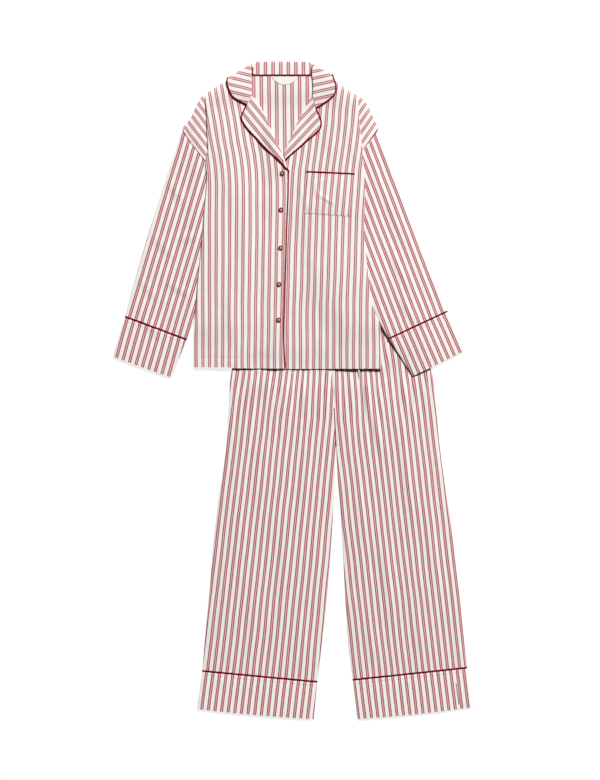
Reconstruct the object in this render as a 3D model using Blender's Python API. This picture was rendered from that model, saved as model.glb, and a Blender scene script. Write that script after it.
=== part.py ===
"""A pair of striped cotton pyjamas laid out flat: a buttoned jacket over the top of the trousers.

Every cut piece is one object. Lengths are in millimetres up to the last step, x to the right,
y towards the collar, z up from the surface; the origin is under the middle of the whole set.
"Right" and "left" are the wearer's, so the right front and the right leg lie on the -x side.
"""
import math
from collections import namedtuple

import bpy
from mathutils import Vector

MM = 0.001

# ---------------------------------------------------------------- driving dimensions, mm
CLOTH = 1.0             # wall of every cut piece
SEAM = 0.3              # gap between two pieces that are sewn together
PITCH = 1.8             # from one folded layer to the next, centre to centre
HOLLOW = 2.2            # from the under layer of a flattened tube to its upper layer
ON_PANEL = 1.6          # a piece that lies on a panel, centre to centre
LAPEL_LIFT = 2.0        # a lapel or the collar above the front it is folded back on
PIPE = 1.0              # radius of the piping cord
PIPE_OUT = 1.5          # from a piped edge to the middle of its cord
BUTTON_RADIUS = 5.9
BUTTON_THICK = 2.0
SIDE_SEAM_IN = 25.0     # the trousers' side seam, in from the outer fold
INSEAM_UNDER = 25.0     # the inseam, in from the inner fold on the underside
WAISTBAND_TOP = 246.0
WAISTBAND_FOOT = 211.4
WAIST_LEFT, WAIST_RIGHT = -76.0, 274.0
HIP_FLARE = 0.38        # sideways growth of the trousers for each mm below the waist
RAMP_UP = 180.0         # the jacket comes down above the trousers' waist over this distance
RAMP_OUT = 80.0         # and beside the trousers over this one
OVER_TROUSERS = 4.9     # lift of the jacket where it lies on the trousers
NECK_LIFT = 2.8         # lift of the back neck over the fall of the collar
SLEEVE_RAMP = 60.0      # the sleeve comes down from the folded back over this distance
TUCK_RAMP = 110.0       # the front comes down inside its folded side over this distance
OVERLAP_RAMP = 27.0
OVERLAP_FROM = -75.0    # the right front starts to rise here to lie over the left front
SLEEVE_OUT_FROM, SLEEVE_OUT_TO = 176.0, 100.0   # the sleeve leaves the side of the jacket

# ---------------------------------------------------------------- heights of the layers, mm
BACK = CLOTH / 2
BACK_TURN = BACK + PITCH            # side of the back, folded inwards
SLEEVE_UNDER = BACK_TURN + PITCH    # under layer of the sleeve, inside the folded side
SLEEVE_UPPER = SLEEVE_UNDER + HOLLOW
FRONT_SIDE = SLEEVE_UPPER + 2 * PITCH
FRONT_SIDE_BARE = BACK_TURN + HOLLOW + PITCH    # the same below the sleeve
FRONT_MIDDLE = BACK + HOLLOW + CLOTH
SEAM_ABOVE_BACK = CLOTH + SEAM      # the front's shoulder edge above the back's
SIDE_SEAM_GAP = SEAM + 0.5          # at the side seam, where both walls are curved

# ---------------------------------------------------------------- tables, mm
# The fronts, one row for each station from the shoulder to the hem. inner is the neck seam, the
# roll of the lapel or the front edge; fold is the visible folded side; tuck is how far the side
# turns under; drop is where the dropped shoulder ends, on the shoulder or on the armhole seam.
# loft is 0 on the shoulder seam and 1 where the layers have their full height.
Front = namedtuple("Front", "name inner fold tuck drop loft")
RIGHT_FRONT = [
    Front("shoulder seam", (-121, 800), (-218, 741), 4, (-226, 738), 0.0),
    Front("shoulder roll", (-122, 792), (-217, 735), 5, (-229, 731), 0.7),
    Front("neck side", (-126, 770), (-216, 716), 9, (-240, 711), 1.0),
    Front("neck front", (-127, 742), (-214, 686), 15, (-254, 680), 1.0),
    Front("gorge", (-126, 721), (-213, 668), 20, (-264, 664), 1.0),
    Front("lapel top", (-88, 721), (-213, 655), 24, (-271, 652), 1.0),
    Front("lapel point", (-71, 691), (-211, 624), 34, (-254, 620), 1.0),
    Front("chest", (-52, 651), (-210, 596), 43, (-232, 592), 1.0),
    Front("lapel low", (-36, 614), (-216, 569), 54, (-214, 570), 1.0),
    Front("top button", (-17, 571), (-213, 539), 62, (-187, 541), 1.0),
    Front("pocket", (-12, 536), (-214, 506), 72, (-159, 509), 1.0),
    Front("armpit", (-13, 476), (-218, 464), 88, (-136, 469), 1.0),
    Front("second button", (-16, 406), (-223, 401), 86, None, 1.0),
    Front("waist", (-18, 336), (-229, 336), 80, None, 1.0),
    Front("fourth button", (-20, 266), (-236, 266), 74, None, 1.0),
    Front("hip", (-22, 196), (-241, 196), 68, None, 1.0),
    Front("flare", (-23, 160), (-243, 160), 64, None, 1.0),
    Front("low hip", (-23, 116), (-245, 116), 60, None, 1.0),
    Front("hem", (-20, 57), (-245, 58), 55, None, 1.0),
]
LEFT_FRONT = [
    Front("shoulder seam", (66, 800), (164, 736), 4, (174, 732), 0.0),
    Front("shoulder roll", (67, 792), (164, 730), 5, (178, 726), 0.7),
    Front("neck side", (75, 770), (164, 716), 9, (189, 711), 1.0),
    Front("neck front", (76, 742), (166, 689), 15, (202, 684), 1.0),
    Front("gorge", (71, 721), (167, 672), 20, (209, 667), 1.0),
    Front("lapel top", (40, 721), (168, 661), 24, (214, 652), 1.0),
    Front("lapel point", (24, 691), (171, 631), 34, (197, 627), 1.0),
    Front("chest", (4, 649), (175, 604), 43, (178, 604), 1.0),
    Front("lapel low", (-12, 611), (177, 574), 54, (154, 574), 1.0),
    Front("top button", (-31, 569), (180, 541), 62, (132, 542), 1.0),
    Front("pocket", (-38, 536), (181, 506), 72, (112, 514), 1.0),
    Front("armpit", (-39, 476), (181, 461), 98, (89, 469), 1.0),
    Front("second button", (-41, 406), (179, 404), 88, None, 1.0),
    Front("waist", (-42, 336), (184, 336), 80, None, 1.0),
    Front("fourth button", (-43, 266), (192, 266), 74, None, 1.0),
    Front("hip", (-44, 206), (201, 206), 68, None, 1.0),
    Front("flare", (-45, 164), (219, 164), 64, None, 1.0),
    Front("low hip", (-45, 114), (219, 114), 60, None, 1.0),
    Front("hem", (-44, 56), (223, 57), 55, None, 1.0),
]
FRONTS = {-1: RIGHT_FRONT, 1: LEFT_FRONT}
SHOULDER_ROWS = ("shoulder seam", "shoulder roll", "neck side", "neck front", "gorge", "lapel top")
LAPEL_ROWS = ("lapel top", "lapel point", "chest", "lapel low")
FRONT_ONLY_ROW = "gorge"                    # a station that the back doesn't need

# Top edge of the back from its right fold to its left fold: shoulders and back neck.
BACK_TOP = [(-215.5, 742.5), (-170, 769), (-121, 800), (-97, 786.3), (-23, 786.3), (46, 786.3),
            (66, 800), (115, 768), (161.6, 737.6)]
NECK_SHARE = {"shoulder seam": 1.0, "shoulder roll": 0.97, "neck side": 0.8, "neck front": 0.5,
              "lapel top": 0.25, "lapel point": 0.08}

# The sleeves below the armhole seam: outer fold and inner fold at each station.
Station = namedtuple("Station", "name outer inner")
RIGHT_SLEEVE = [
    Station("head", (-271, 652), (-136, 469)),
    Station("upper arm", (-293, 596), (-153, 429)),
    Station("biceps", (-316, 531), (-173, 381)),
    Station("above elbow", (-341, 449), (-196, 324)),
    Station("elbow", (-366, 369), (-216, 266)),
    Station("forearm", (-389, 289), (-232, 211)),
    Station("wrist", (-406, 231), (-248, 164)),
    Station("cuff seam", (-417, 185), (-264, 128)),
    Station("cuff edge", (-448, 85), (-301, 32)),
]
LEFT_SLEEVE = [
    Station("head", (214, 650), (89, 469)),
    Station("upper arm", (234, 596), (104, 429)),
    Station("biceps", (259, 529), (127, 379)),
    Station("above elbow", (289, 446), (152, 321)),
    Station("elbow", (319, 369), (174, 266)),
    Station("forearm", (349, 294), (197, 214)),
    Station("wrist", (369, 244), (219, 169)),
    Station("cuff seam", (387, 198), (241, 130)),
    Station("cuff edge", (429, 99), (301, 36)),
]
SLEEVES = {-1: RIGHT_SLEEVE, 1: LEFT_SLEEVE}
HEAD_SHARE = {"head": 1.0, "upper arm": 0.45, "biceps": 0.12}

# The legs: outer fold, and the centre seam or, below the crotch, the inner fold.
RIGHT_LEG = [
    Station("waist", (-81, 211), (97, 211)),
    Station("hip", (-116, 139), (98, 139)),
    Station("seat", (-151, 51), (99, 54)),
    Station("rise", (-157, -24), (104, -16)),
    Station("crotch", (-160, -69), (106.6, -66)),
    Station("thigh", (-164, -136), (106, -139)),
    Station("mid thigh", (-174, -211), (104, -219)),
    Station("above knee", (-184, -274), (102, -286)),
    Station("knee", (-197, -386), (96, -401)),
    Station("calf", (-206, -499), (86, -519)),
    Station("shin", (-217, -611), (74, -634)),
    Station("hem seam", (-224, -700), (62, -727)),
    Station("hem edge", (-237, -796), (54, -821)),
]
LEFT_LEG = [
    Station("waist", (277, 211), (97, 211)),
    Station("hip", (312, 139), (98, 139)),
    Station("seat", (347, 51), (99, 54)),
    Station("rise", (357, -24), (104, -16)),
    Station("crotch", (362, -69), (107.6, -66)),
    Station("thigh", (368, -136), (108, -139)),
    Station("mid thigh", (378, -211), (112, -219)),
    Station("above knee", (387, -274), (119, -286)),
    Station("knee", (403, -386), (127, -401)),
    Station("calf", (417, -499), (133, -519)),
    Station("shin", (428, -611), (141, -634)),
    Station("hem seam", (436, -692), (152, -722)),
    Station("hem edge", (447, -792), (164, -821)),
]
LEGS = {-1: RIGHT_LEG, 1: LEFT_LEG}
CROTCH = 4              # row of the leg tables where the inner fold starts
HEM_SAG = 2.5           # the hems are slightly rounded
LEG_PIECES = 3          # cells across a leg, between its folds

# The collar, from the right point round the back of the neck to the left point. seam is the
# neck seam, roll the folded top, edge the piped outer edge; face is 90 where the fall lies on
# the front, 0 where it passes over the shoulder, -90 where it lies under the back.
Collar = namedtuple("Collar", "seam roll edge face")
COLLAR = [
    Collar((-123.5, 725), (-102, 736), (-112, 715.5), 90),
    Collar((-125, 746), (-102, 756), (-145, 733), 90),
    Collar((-124, 769), (-102, 776), (-158, 756), 90),
    Collar((-119.5, 785), (-102, 795), (-161, 770), 90),
    Collar((-114, 803), (-103, 811), (-158, 778.5), 45),
    Collar((-113, 805), (-103, 812), (-157, 779.5), 0),
    Collar((-110, 804), (-102, 814), (-153, 781), -60),
    Collar((-104, 797), (-97, 818), (-134, 770), -90),
    Collar((-94, 789.8), (-90, 821), (-106, 763), -90),
    Collar((-61, 789.8), (-61, 822), (-63, 766), -90),
    Collar((-23, 789.8), (-23, 822), (-23, 766), -90),
    Collar((14, 789.8), (14, 822), (17, 766), -90),
    Collar((43, 789.8), (41, 821), (57, 763), -90),
    Collar((51, 797), (46, 817), (76, 774), -90),
    Collar((57, 804), (51, 813), (92, 788), -60),
    Collar((59, 805), (52, 811), (95, 787), 0),
    Collar((60, 803), (52, 810), (97, 786.5), 45),
    Collar((68.5, 785), (49, 795), (103, 775), 90),
    Collar((73.5, 769), (51, 776), (107, 761), 90),
    Collar((74.5, 746), (52, 756), (101, 736), 90),
    Collar((69, 725), (51, 738), (58, 706), 90),
]

# The lapels: roll line and piped outer edge, from the gorge down to the top button.
Lapel = namedtuple("Lapel", "roll edge")
RIGHT_LAPEL = [
    Lapel((-100, 733.5), (-112, 712.5)), Lapel((-91, 726), (-122, 692)), Lapel((-79, 707), (-125, 680)),
    Lapel((-68, 684), (-113, 658)), Lapel((-56, 658), (-89, 632)), Lapel((-42, 626), (-63, 604)),
    Lapel((-29, 599), (-39, 582)), Lapel((-21.5, 582), (-20, 564)),
]
LEFT_LAPEL = [
    Lapel((50, 735.5), (58, 703)), Lapel((41, 721.5), (64, 688)), Lapel((29, 701), (70, 671)),
    Lapel((18, 679), (66, 652)), Lapel((7, 655), (42, 631)), Lapel((-4, 630), (18, 610)),
    Lapel((-14, 607), (-2, 593)), Lapel((-21, 591), (-17, 579)),
]
LAPELS = {-1: RIGHT_LAPEL, 1: LEFT_LAPEL}

POCKET_CORNERS = {"top": ((35, 544.5), (156, 538.5)), "foot": ((31, 443), (146, 435))}
BUTTONS = [(-25, 542), (-28, 451), (-29, 356), (-33, 265), (-34, 176)]
LABEL_TOP, LABEL_DEPTH, LABEL_LEFT, LABEL_RIGHT = 784.0, 20.0, -50.0, 13.0
NECK_PIPING_Y, NECK_PIPING_FROM, NECK_PIPING_TO = 788.0, -97.0, 46.0

COLOURS = {
    "stripe": (0.86, 0.66, 0.66, 0.85),
    "turned stripe": (0.88, 0.72, 0.71, 0.85),
    "piping": (0.27, 0.005, 0.02, 0.6),
    "label": (0.93, 0.91, 0.85, 0.8),
    "button": (0.33, 0.16, 0.13, 0.35),
}


# ---------------------------------------------------------------- small helpers
def mix(a, b, t):
    return a + (b - a) * t


def ramp(t):
    """0 below 0, 1 above 1 and straight between."""
    return min(1.0, max(0.0, t))


def ease(t):
    """0 below 0, 1 above 1 and a smooth S between."""
    t = ramp(t)
    return t * t * (3.0 - 2.0 * t)


def flat(point):
    return Vector((point[0], point[1]))


def lookup(table, y, value):
    """value(row) at height y of a table whose rows run down the fold."""
    for upper, lower in zip(table, table[1:]):
        if y >= lower.fold[1]:
            share = (upper.fold[1] - y) / (upper.fold[1] - lower.fold[1])
            return mix(value(upper), value(lower), ramp(share))
    return value(table[-1])


def clear_scene():
    for thing in list(bpy.data.objects):
        bpy.data.objects.remove(thing, do_unlink=True)


def material(kind):
    made = bpy.data.materials.get(kind)
    if made is None:
        made = bpy.data.materials.new(kind)
        made.use_nodes = True
        shader = made.node_tree.nodes["Principled BSDF"]
        shader.inputs["Base Color"].default_value = (*COLOURS[kind][:3], 1.0)
        shader.inputs["Roughness"].default_value = COLOURS[kind][3]
    return made


# ---------------------------------------------------------------- heights over the whole layout
def ground(x, y):
    """What the jacket lies on: the trousers below its waist, the collar's fall at its neck."""
    below = WAISTBAND_TOP - y
    left = WAIST_LEFT - HIP_FLARE * max(0.0, below)
    right = WAIST_RIGHT + HIP_FLARE * max(0.0, below)
    beside = ramp((x - left) / RAMP_OUT + 1) * ramp((right - x) / RAMP_OUT + 1)
    trousers = beside * ramp(below / RAMP_UP + 1)
    neck = ramp((y - 700) / 50) * ramp((185 - abs(x + 31)) / 50)
    return OVER_TROUSERS * trousers + NECK_LIFT * neck


def inside(side, x, y):
    """Distance inwards from the folded side of the jacket."""
    return side * (lookup(FRONTS[side], y, lambda row: row.fold[0]) - x)


def with_sleeve(y):
    """1 where the sleeve lies in the folded side, 0 below it."""
    return ease((y - SLEEVE_OUT_TO) / (SLEEVE_OUT_FROM - SLEEVE_OUT_TO))


def front_height(side, x, y):
    """Centre of the front's wall: low in the middle, high over its folded side."""
    high = mix(FRONT_SIDE_BARE, FRONT_SIDE, with_sleeve(y))
    tuck = lookup(FRONTS[side], y, lambda row: row.tuck)
    high_share = ease(1.0 - (inside(side, x, y) - tuck) / TUCK_RAMP)
    height = ground(x, y) + mix(FRONT_MIDDLE, high, high_share)
    if side < 0:
        lift = mix(2.0, 4.2, ease((y - 520) / 35))
        height += lift * ease((x - OVERLAP_FROM) / OVERLAP_RAMP)
    return height


def back_height(x, y):
    return ground(x, y) + BACK


def sleeve_base(side, x, y):
    """The sleeve rises from the surface to lie on the folded side of the back."""
    on_back = ramp((inside(side, x, y) - 4) / SLEEVE_RAMP + 1)
    return ground(x, y) + 2 * PITCH * on_back


def lofted(height, seam_height, loft):
    return mix(seam_height, height, loft)


# ---------------------------------------------------------------- rows of points
def run(start, end, height, pieces, skip=0):
    """Points in plan from start to end, at the height of their layer."""
    points = []
    for i in range(skip, pieces + 1):
        at = start.lerp(end, i / pieces)
        points.append(Vector((at.x, at.y, height(at.x, at.y))))
    return points


def turn(edge, outward, first, second, pieces, share=1.0):
    """Inner points of the half round between two layers; share 0.5 stops half way."""
    reach = abs(first - second) / 2
    points = []
    for i in range(1, pieces + (share < 1.0)):
        angle = math.pi * share * i / pieces
        at = edge + outward * reach * (math.sin(angle) - 1)
        points.append(Vector((at.x, at.y, mix(first, second, (1 - math.cos(angle)) / 2))))
    return points


def ring(outer, inner, low, high, gap_at, pieces):
    """One row of a flattened tube, open for its seam on the underside near the inner fold.

    low and high are the heights of the under and the upper layer as functions of x and y.
    """
    upper_pieces, under_pieces = pieces
    outward = (outer - inner).normalized()
    bottom, top = low(inner.x, inner.y), high(inner.x, inner.y)
    reach_in = (top - bottom) / 2
    reach_out = (high(outer.x, outer.y) - low(outer.x, outer.y)) / 2
    start, end = inner + outward * reach_in, outer - outward * reach_out
    seam = inner + outward * gap_at
    row = run(seam, start, low, 1)
    row += turn(inner, -outward, bottom, top, 2)
    row += run(start, end, high, upper_pieces)
    row += turn(outer, outward, high(outer.x, outer.y), low(outer.x, outer.y), 2)
    row += run(end, seam + outward * SEAM, low, under_pieces)
    return row


# ---------------------------------------------------------------- rows of points to solids
def cloth(name, rows, kind="stripe", keep=lambda row, column: True, wall=CLOTH):
    """A walled sheet through the rows; keep says which cells of the grid are cut from cloth."""
    columns = len(rows[0])
    cells = [(j, i) for j in range(len(rows) - 1) for i in range(columns - 1) if keep(j, i)]
    corners = sorted({(j + dj, i + di) for j, i in cells for dj in (0, 1) for di in (0, 1)})
    index = {corner: k for k, corner in enumerate(corners)}
    faces = [(index[j, i], index[j, i + 1], index[j + 1, i + 1], index[j + 1, i]) for j, i in cells]
    mesh = bpy.data.meshes.new(name)
    mesh.from_pydata([rows[j][i] * MM for j, i in corners], [], faces)
    mesh.materials.append(material(kind))
    thing = bpy.data.objects.new(name, mesh)
    bpy.context.collection.objects.link(thing)
    solid = thing.modifiers.new("wall", "SOLIDIFY")
    solid.thickness = wall * MM
    solid.offset = 0.0
    return thing


def cord(name, points):
    """Round piping through the points."""
    curve = bpy.data.curves.new(name, "CURVE")
    curve.dimensions = "3D"
    curve.bevel_depth = PIPE * MM
    curve.bevel_resolution = 1
    curve.use_fill_caps = True
    spline = curve.splines.new("POLY")
    spline.points.add(len(points) - 1)
    for knot, point in zip(spline.points, points):
        knot.co = (*(point * MM), 1.0)
    curve.materials.append(material("piping"))
    thing = bpy.data.objects.new(name, curve)
    bpy.context.collection.objects.link(thing)
    return thing


def moved(line, towards, distance):
    """A line of two points, moved square to itself towards a point."""
    along = (line[1] - line[0]).normalized()
    normal = Vector((-along.y, along.x))
    if normal.dot(towards - line[0]) < 0:
        normal = -normal
    return [point + normal * distance for point in line]


def side_name(side):
    return "right" if side < 0 else "left"


# ---------------------------------------------------------------- trousers
def leg_low(x, y):
    return CLOTH / 2


def leg_high(x, y):
    return CLOTH / 2 + HOLLOW


def make_leg(side):
    """Front and back of one leg, seamed near the outer fold on top and the inner fold below."""
    table = LEGS[side][:-1]
    reach = HOLLOW / 2
    front_rows, back_rows = [], []
    for number, station in enumerate(table):
        outer, inner = flat(station.outer), flat(station.inner)
        outward = (outer - inner).normalized()
        if number == len(table) - 1:
            outer, inner = moved([outer, inner], flat(table[-2].outer), PIPE_OUT)
        tubed = number >= CROTCH
        under = min(INSEAM_UNDER, 10.0 + 15.0 * (number - CROTCH)) if tubed else 2 * reach
        centre = inner + outward * (0.0 if tubed else SEAM)
        side_seam = outer - outward * SIDE_SEAM_IN
        top_end = centre + outward * (reach if tubed else 0.0)
        row = run(side_seam, top_end, leg_high, LEG_PIECES)
        row += turn(inner, -outward, leg_high(0, 0), leg_low(0, 0), 2)
        row += run(inner + outward * reach, inner + outward * under, leg_low, 1)
        front_rows.append(row)
        back_inner = inner + outward * (under + SEAM) if tubed else centre
        row = run(back_inner, outer - outward * reach, leg_low, LEG_PIECES)
        row += turn(outer, outward, leg_low(0, 0), leg_high(0, 0), 2)
        row += run(outer - outward * reach, side_seam + outward * SEAM, leg_high, 1)
        back_rows.append(row)
    name = side_name(side)
    cloth("leg_front_" + name, front_rows, keep=lambda j, i: i < LEG_PIECES or j >= CROTCH)
    cloth("leg_back_" + name, back_rows)


def tube_rows(stations, low, high, gap_at, sag, pieces):
    """Rings between two stations; sag rounds the last one away from the tube."""
    rows = []
    for number, (outer, inner) in enumerate(stations):
        row = ring(outer, inner, low, high, gap_at, pieces)
        if sag and number == len(stations) - 1:
            along = outer - inner
            down = (flat(stations[-1][0]) - flat(stations[0][0])).normalized()
            for point in row:
                share = (flat(point) - inner).dot(along) / along.length_squared
                bow = sag * 4 * share * (1 - share)
                point.x += down.x * bow
                point.y += down.y * bow
        rows.append(row)
    return rows


def make_turn_up(name, seam, edge, low, high, gap_at, sag, pieces):
    """A cuff or hem band and the piping above it."""
    first = moved(seam, edge[0], PIPE_OUT)
    cloth(name, tube_rows([first, edge], low, high, gap_at, sag, pieces), "turned stripe")
    across = (seam[0] - seam[1]).normalized() * 0.4
    line = [seam[0] + across, seam[1] - across]
    cord_low = lambda x, y: low(x, y) + 0.3
    cord_high = lambda x, y: high(x, y) + 0.3
    width = [moved(line, edge[0], -PIPE), moved(line, edge[0], PIPE)]
    cloth(name + "_piping", tube_rows(width, cord_low, cord_high, gap_at, 0.0, pieces), "piping",
          wall=1.6)


def make_hem_band(side):
    seam, edge = LEGS[side][-2:]
    make_turn_up("hem_band_" + side_name(side), [flat(seam.outer), flat(seam.inner)],
                 [flat(edge.outer), flat(edge.inner)], leg_low, leg_high, INSEAM_UNDER, HEM_SAG,
                 (4, 3))


def make_waistband():
    top = (Vector((WAIST_LEFT, WAISTBAND_TOP)), Vector((WAIST_RIGHT, WAISTBAND_TOP)))
    foot = (Vector((WAIST_LEFT - 4, WAISTBAND_FOOT)), Vector((WAIST_RIGHT + 3, WAISTBAND_FOOT)))
    cloth("waistband", tube_rows([top, foot], leg_low, leg_high, INSEAM_UNDER, 0.0, (4, 3)),
          "turned stripe")


# ---------------------------------------------------------------- jacket body
def side_points(side, station, inset=0.0):
    """Fold, end of the tuck and direction outwards at one station of the folded side."""
    fold = flat(station.fold)
    outward = (fold - flat(station.inner)).normalized()
    fold = fold - outward * inset
    return fold, fold - outward * (station.tuck - inset), outward


def make_front(side):
    """Main panel, side turned under, and the dropped shoulder that comes out below the tuck."""
    table = FRONTS[side]
    last_drop = [row.name for row in table].index("pocket")
    rows = []
    for number, station in enumerate(table):
        fold, deep, outward = side_points(side, station)
        inner = flat(station.inner)
        if station.name in LAPEL_ROWS:
            inner = inner + outward * 2.2

        def height(x, y, layer=0.0, loft=station.loft):
            full = front_height(side, x, y) - layer
            return lofted(full, ground(x, y) + BACK + SEAM_ABOVE_BACK, loft)

        def turned(x, y):
            return height(x, y, PITCH)

        def dropped(x, y, loft=station.loft):
            full = sleeve_base(side, x, y) + BACK + HOLLOW
            return lofted(full, ground(x, y) + BACK + SEAM_ABOVE_BACK, loft)

        reach = PITCH / 2
        row = run(inner, fold - outward * reach, height, 7)
        row += turn(fold, outward, height(*fold), turned(*fold), 3)
        hanging = number > last_drop
        back_turn = ground(*deep) + BACK_TURN
        inner_reach = (turned(*deep) - back_turn) / 2 if hanging else reach
        tuck_end = deep + outward * inner_reach
        row += run(fold - outward * reach, tuck_end, turned, 2)
        if hanging:
            row += turn(deep, -outward, turned(*deep), back_turn + SIDE_SEAM_GAP, 2, 0.5)
            row += [row[-1]] * 3
        else:
            row += turn(deep, -outward, turned(*deep), dropped(*deep), 2)
            drop = flat(station.drop)
            if station.loft < 1.0:
                tuck_end = fold + outward * 2 * CLOTH
            row += run(tuck_end, drop, dropped, 3)
            if station.name in SHOULDER_ROWS:
                edge = row[-1]
                edge.z = mix(edge.z, sleeve_base(side, *drop) + BACK + SEAM_ABOVE_BACK, station.loft)
        rows.append(row)
    main, deep_from, drop_from = 7, 7 + 3 + 2, 7 + 3 + 2 + 2

    def keep(j, i):
        if j < 2 and main <= i < drop_from:
            return False
        if j == last_drop and i >= deep_from:
            return False
        return i < drop_from or j < last_drop

    cloth("jacket_front_" + side_name(side), rows, keep=keep)


def make_back():
    """The back with both sides turned inwards and both dropped shoulders."""
    rights = [row for row in RIGHT_FRONT if row.name != FRONT_ONLY_ROW]
    lefts = [row for row in LEFT_FRONT if row.name != FRONT_ONLY_ROW]
    last_drop = [row.name for row in rights].index("pocket")
    rows, first_folds = [], None
    for number, pair in enumerate(zip(rights, lefts)):
        hanging = number > last_drop
        halves, folds = [], []
        for side, station in zip((-1, 1), pair):
            fold, deep, outward = side_points(side, station, 2.0)

            def turned(x, y, loft=station.loft):
                return lofted(ground(x, y) + BACK_TURN, ground(x, y) + BACK, loft)

            def dropped(x, y, side=side, loft=station.loft):
                return lofted(sleeve_base(side, x, y) + BACK, ground(x, y) + BACK, loft)

            reach = PITCH / 2
            front_turn = front_height(side, *deep) - PITCH
            inner_reach = (front_turn - turned(*deep)) / 2 if hanging else reach
            tuck_end = deep + outward * inner_reach
            half = turn(fold, outward, back_height(*fold), turned(*fold), 2)
            half += run(fold - outward * reach, tuck_end, turned, 1)
            if hanging:
                half += turn(deep, -outward, turned(*deep), front_turn - SIDE_SEAM_GAP, 2, 0.5)
                half += [half[-1]] * 2
            else:
                half += turn(deep, -outward, turned(*deep), dropped(*deep), 2)
                if station.loft < 1.0:
                    tuck_end = fold + outward * 2 * CLOTH
                half += run(tuck_end, flat(station.drop), dropped, 2)
            halves.append(half)
            folds.append(fold - outward * reach)
        share = NECK_SHARE.get(pair[0].name, 0.0)
        first_folds = first_folds or folds
        main = []
        for i, top in enumerate(BACK_TOP):
            across = i / (len(BACK_TOP) - 1)
            even = folds[0].lerp(folds[1], across)
            at = even + (flat(top) - first_folds[0].lerp(first_folds[1], across)) * share
            main.append(Vector((at.x, at.y, back_height(at.x, at.y))))
        rows.append(halves[0][::-1] + main + halves[1])
    half_size = len(halves[0])
    columns = len(rows[0])

    def keep(j, i):
        from_edge = min(i, columns - 2 - i)
        if from_edge < 2:
            return j < last_drop
        if j < 2 and from_edge < half_size:
            return False
        return j != last_drop or from_edge >= 4

    cloth("jacket_back", rows, keep=keep)


# ---------------------------------------------------------------- sleeves
def head_line(side):
    """The armhole seam from the shoulder to the armpit."""
    table = FRONTS[side]
    names = [row.name for row in table]
    stations = table[names.index("lapel top"):names.index("armpit") + 1]
    return [flat(row.drop) for row in stations]


def make_sleeve(side):
    """One piece round the arm, its underarm seam below the inner fold."""
    table = SLEEVES[side]
    head = head_line(side)
    low = lambda x, y: sleeve_base(side, x, y) + BACK
    high = lambda x, y: sleeve_base(side, x, y) + BACK + HOLLOW
    away = Vector((side * 0.7, -0.7)) * (SEAM + 0.3)
    rows = []
    for station in table[:-1]:
        outer, inner = flat(station.outer), flat(station.inner)
        if station.name == "head":
            outer, inner = outer + away, inner + away
        if station.name == "cuff seam":
            outer, inner = moved([outer, inner], flat(table[0].outer), PIPE_OUT)
        row = ring(outer, inner, low, high, 8.0, pieces=(len(head) - 1, len(head) - 1))
        share = HEAD_SHARE.get(station.name, 0.0)
        if share:
            bend_to_head(row, outer, inner, head, share)
        rows.append(row)
    cloth("sleeve_" + side_name(side), rows)
    seam, edge = table[-2:]
    make_turn_up("cuff_" + side_name(side), [flat(seam.outer), flat(seam.inner)],
                 [flat(edge.outer), flat(edge.inner)], low, high, 8.0, 1.0, (4, 4))


def bend_to_head(row, outer, inner, head, share):
    """Moves a straight ring onto the curve of the armhole."""
    along = outer - inner
    for point in row:
        place = (flat(point) - inner).dot(along) / along.length_squared
        place = min(1.0, max(0.0, 1.0 - place)) * (len(head) - 1)
        k = min(int(place), len(head) - 2)
        curve = head[k].lerp(head[k + 1], place - k)
        chord = head[0].lerp(head[-1], place / (len(head) - 1))
        point.x += (curve.x - chord.x) * share
        point.y += (curve.y - chord.y) * share


# ---------------------------------------------------------------- collar, lapels, trims
def collar_heights(station, x, y):
    """Heights of the stand and of the fall where the collar faces up, sideways or down."""
    up = math.sin(math.radians(station.face))
    side = -1 if x < -25 else 1
    front = front_height(side, x, y)
    back = back_height(x, y)
    stand = mix(back, front, (up + 1) / 2)
    fall = mix(CLOTH / 2, front + LAPEL_LIFT, (up + 1) / 2)
    return stand, fall


def collar_out(station):
    """How far the fall stands out over the shoulder, as a plan vector."""
    along = (flat(station.roll) - flat(station.edge)).normalized()
    out = Vector((-along.y, along.x))
    if out.y < 0:
        out = -out
    return out * 3.6 * math.cos(math.radians(station.face))


def make_collar():
    rows, piping = [], []
    for station in COLLAR:
        seam, roll, edge = flat(station.seam), flat(station.roll), flat(station.edge)
        out = collar_out(station)
        stand_z, fall_z = collar_heights(station, *roll)
        to_roll = (roll - edge).normalized()
        reach = max(1.0, abs(stand_z - fall_z) / 2)
        stand_end, fall_end = roll - to_roll * reach, roll - to_roll * reach + out
        stand = lambda x, y: collar_heights(station, x, y)[0]
        fall = lambda x, y: collar_heights(station, x, y)[1]
        row = run(seam, stand_end, stand, 1)
        for i in (1, 2):
            angle = math.pi * i / 3
            share = (1 - math.cos(angle)) / 2
            at = roll + to_roll * reach * (math.sin(angle) - 1) + out * share
            row.append(Vector((at.x, at.y, mix(stand_z, fall_z, share))))
        low_end = edge + out
        row += [Vector((p.x, p.y, fall(*(flat(p) - out)))) for p in run(fall_end, low_end, fall, 2)]
        rows.append(row)
        corded = low_end - to_roll * PIPE_OUT * (1 + 0.5 * math.cos(math.radians(station.face)))
        piping.append(Vector((corded.x, corded.y, max(PIPE, row[-1].z + 0.2))))
    cloth("collar", rows)
    cord("collar_piping", piping)


def lapel_height(side, x, y):
    return front_height(side, x, y) + LAPEL_LIFT


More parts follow.
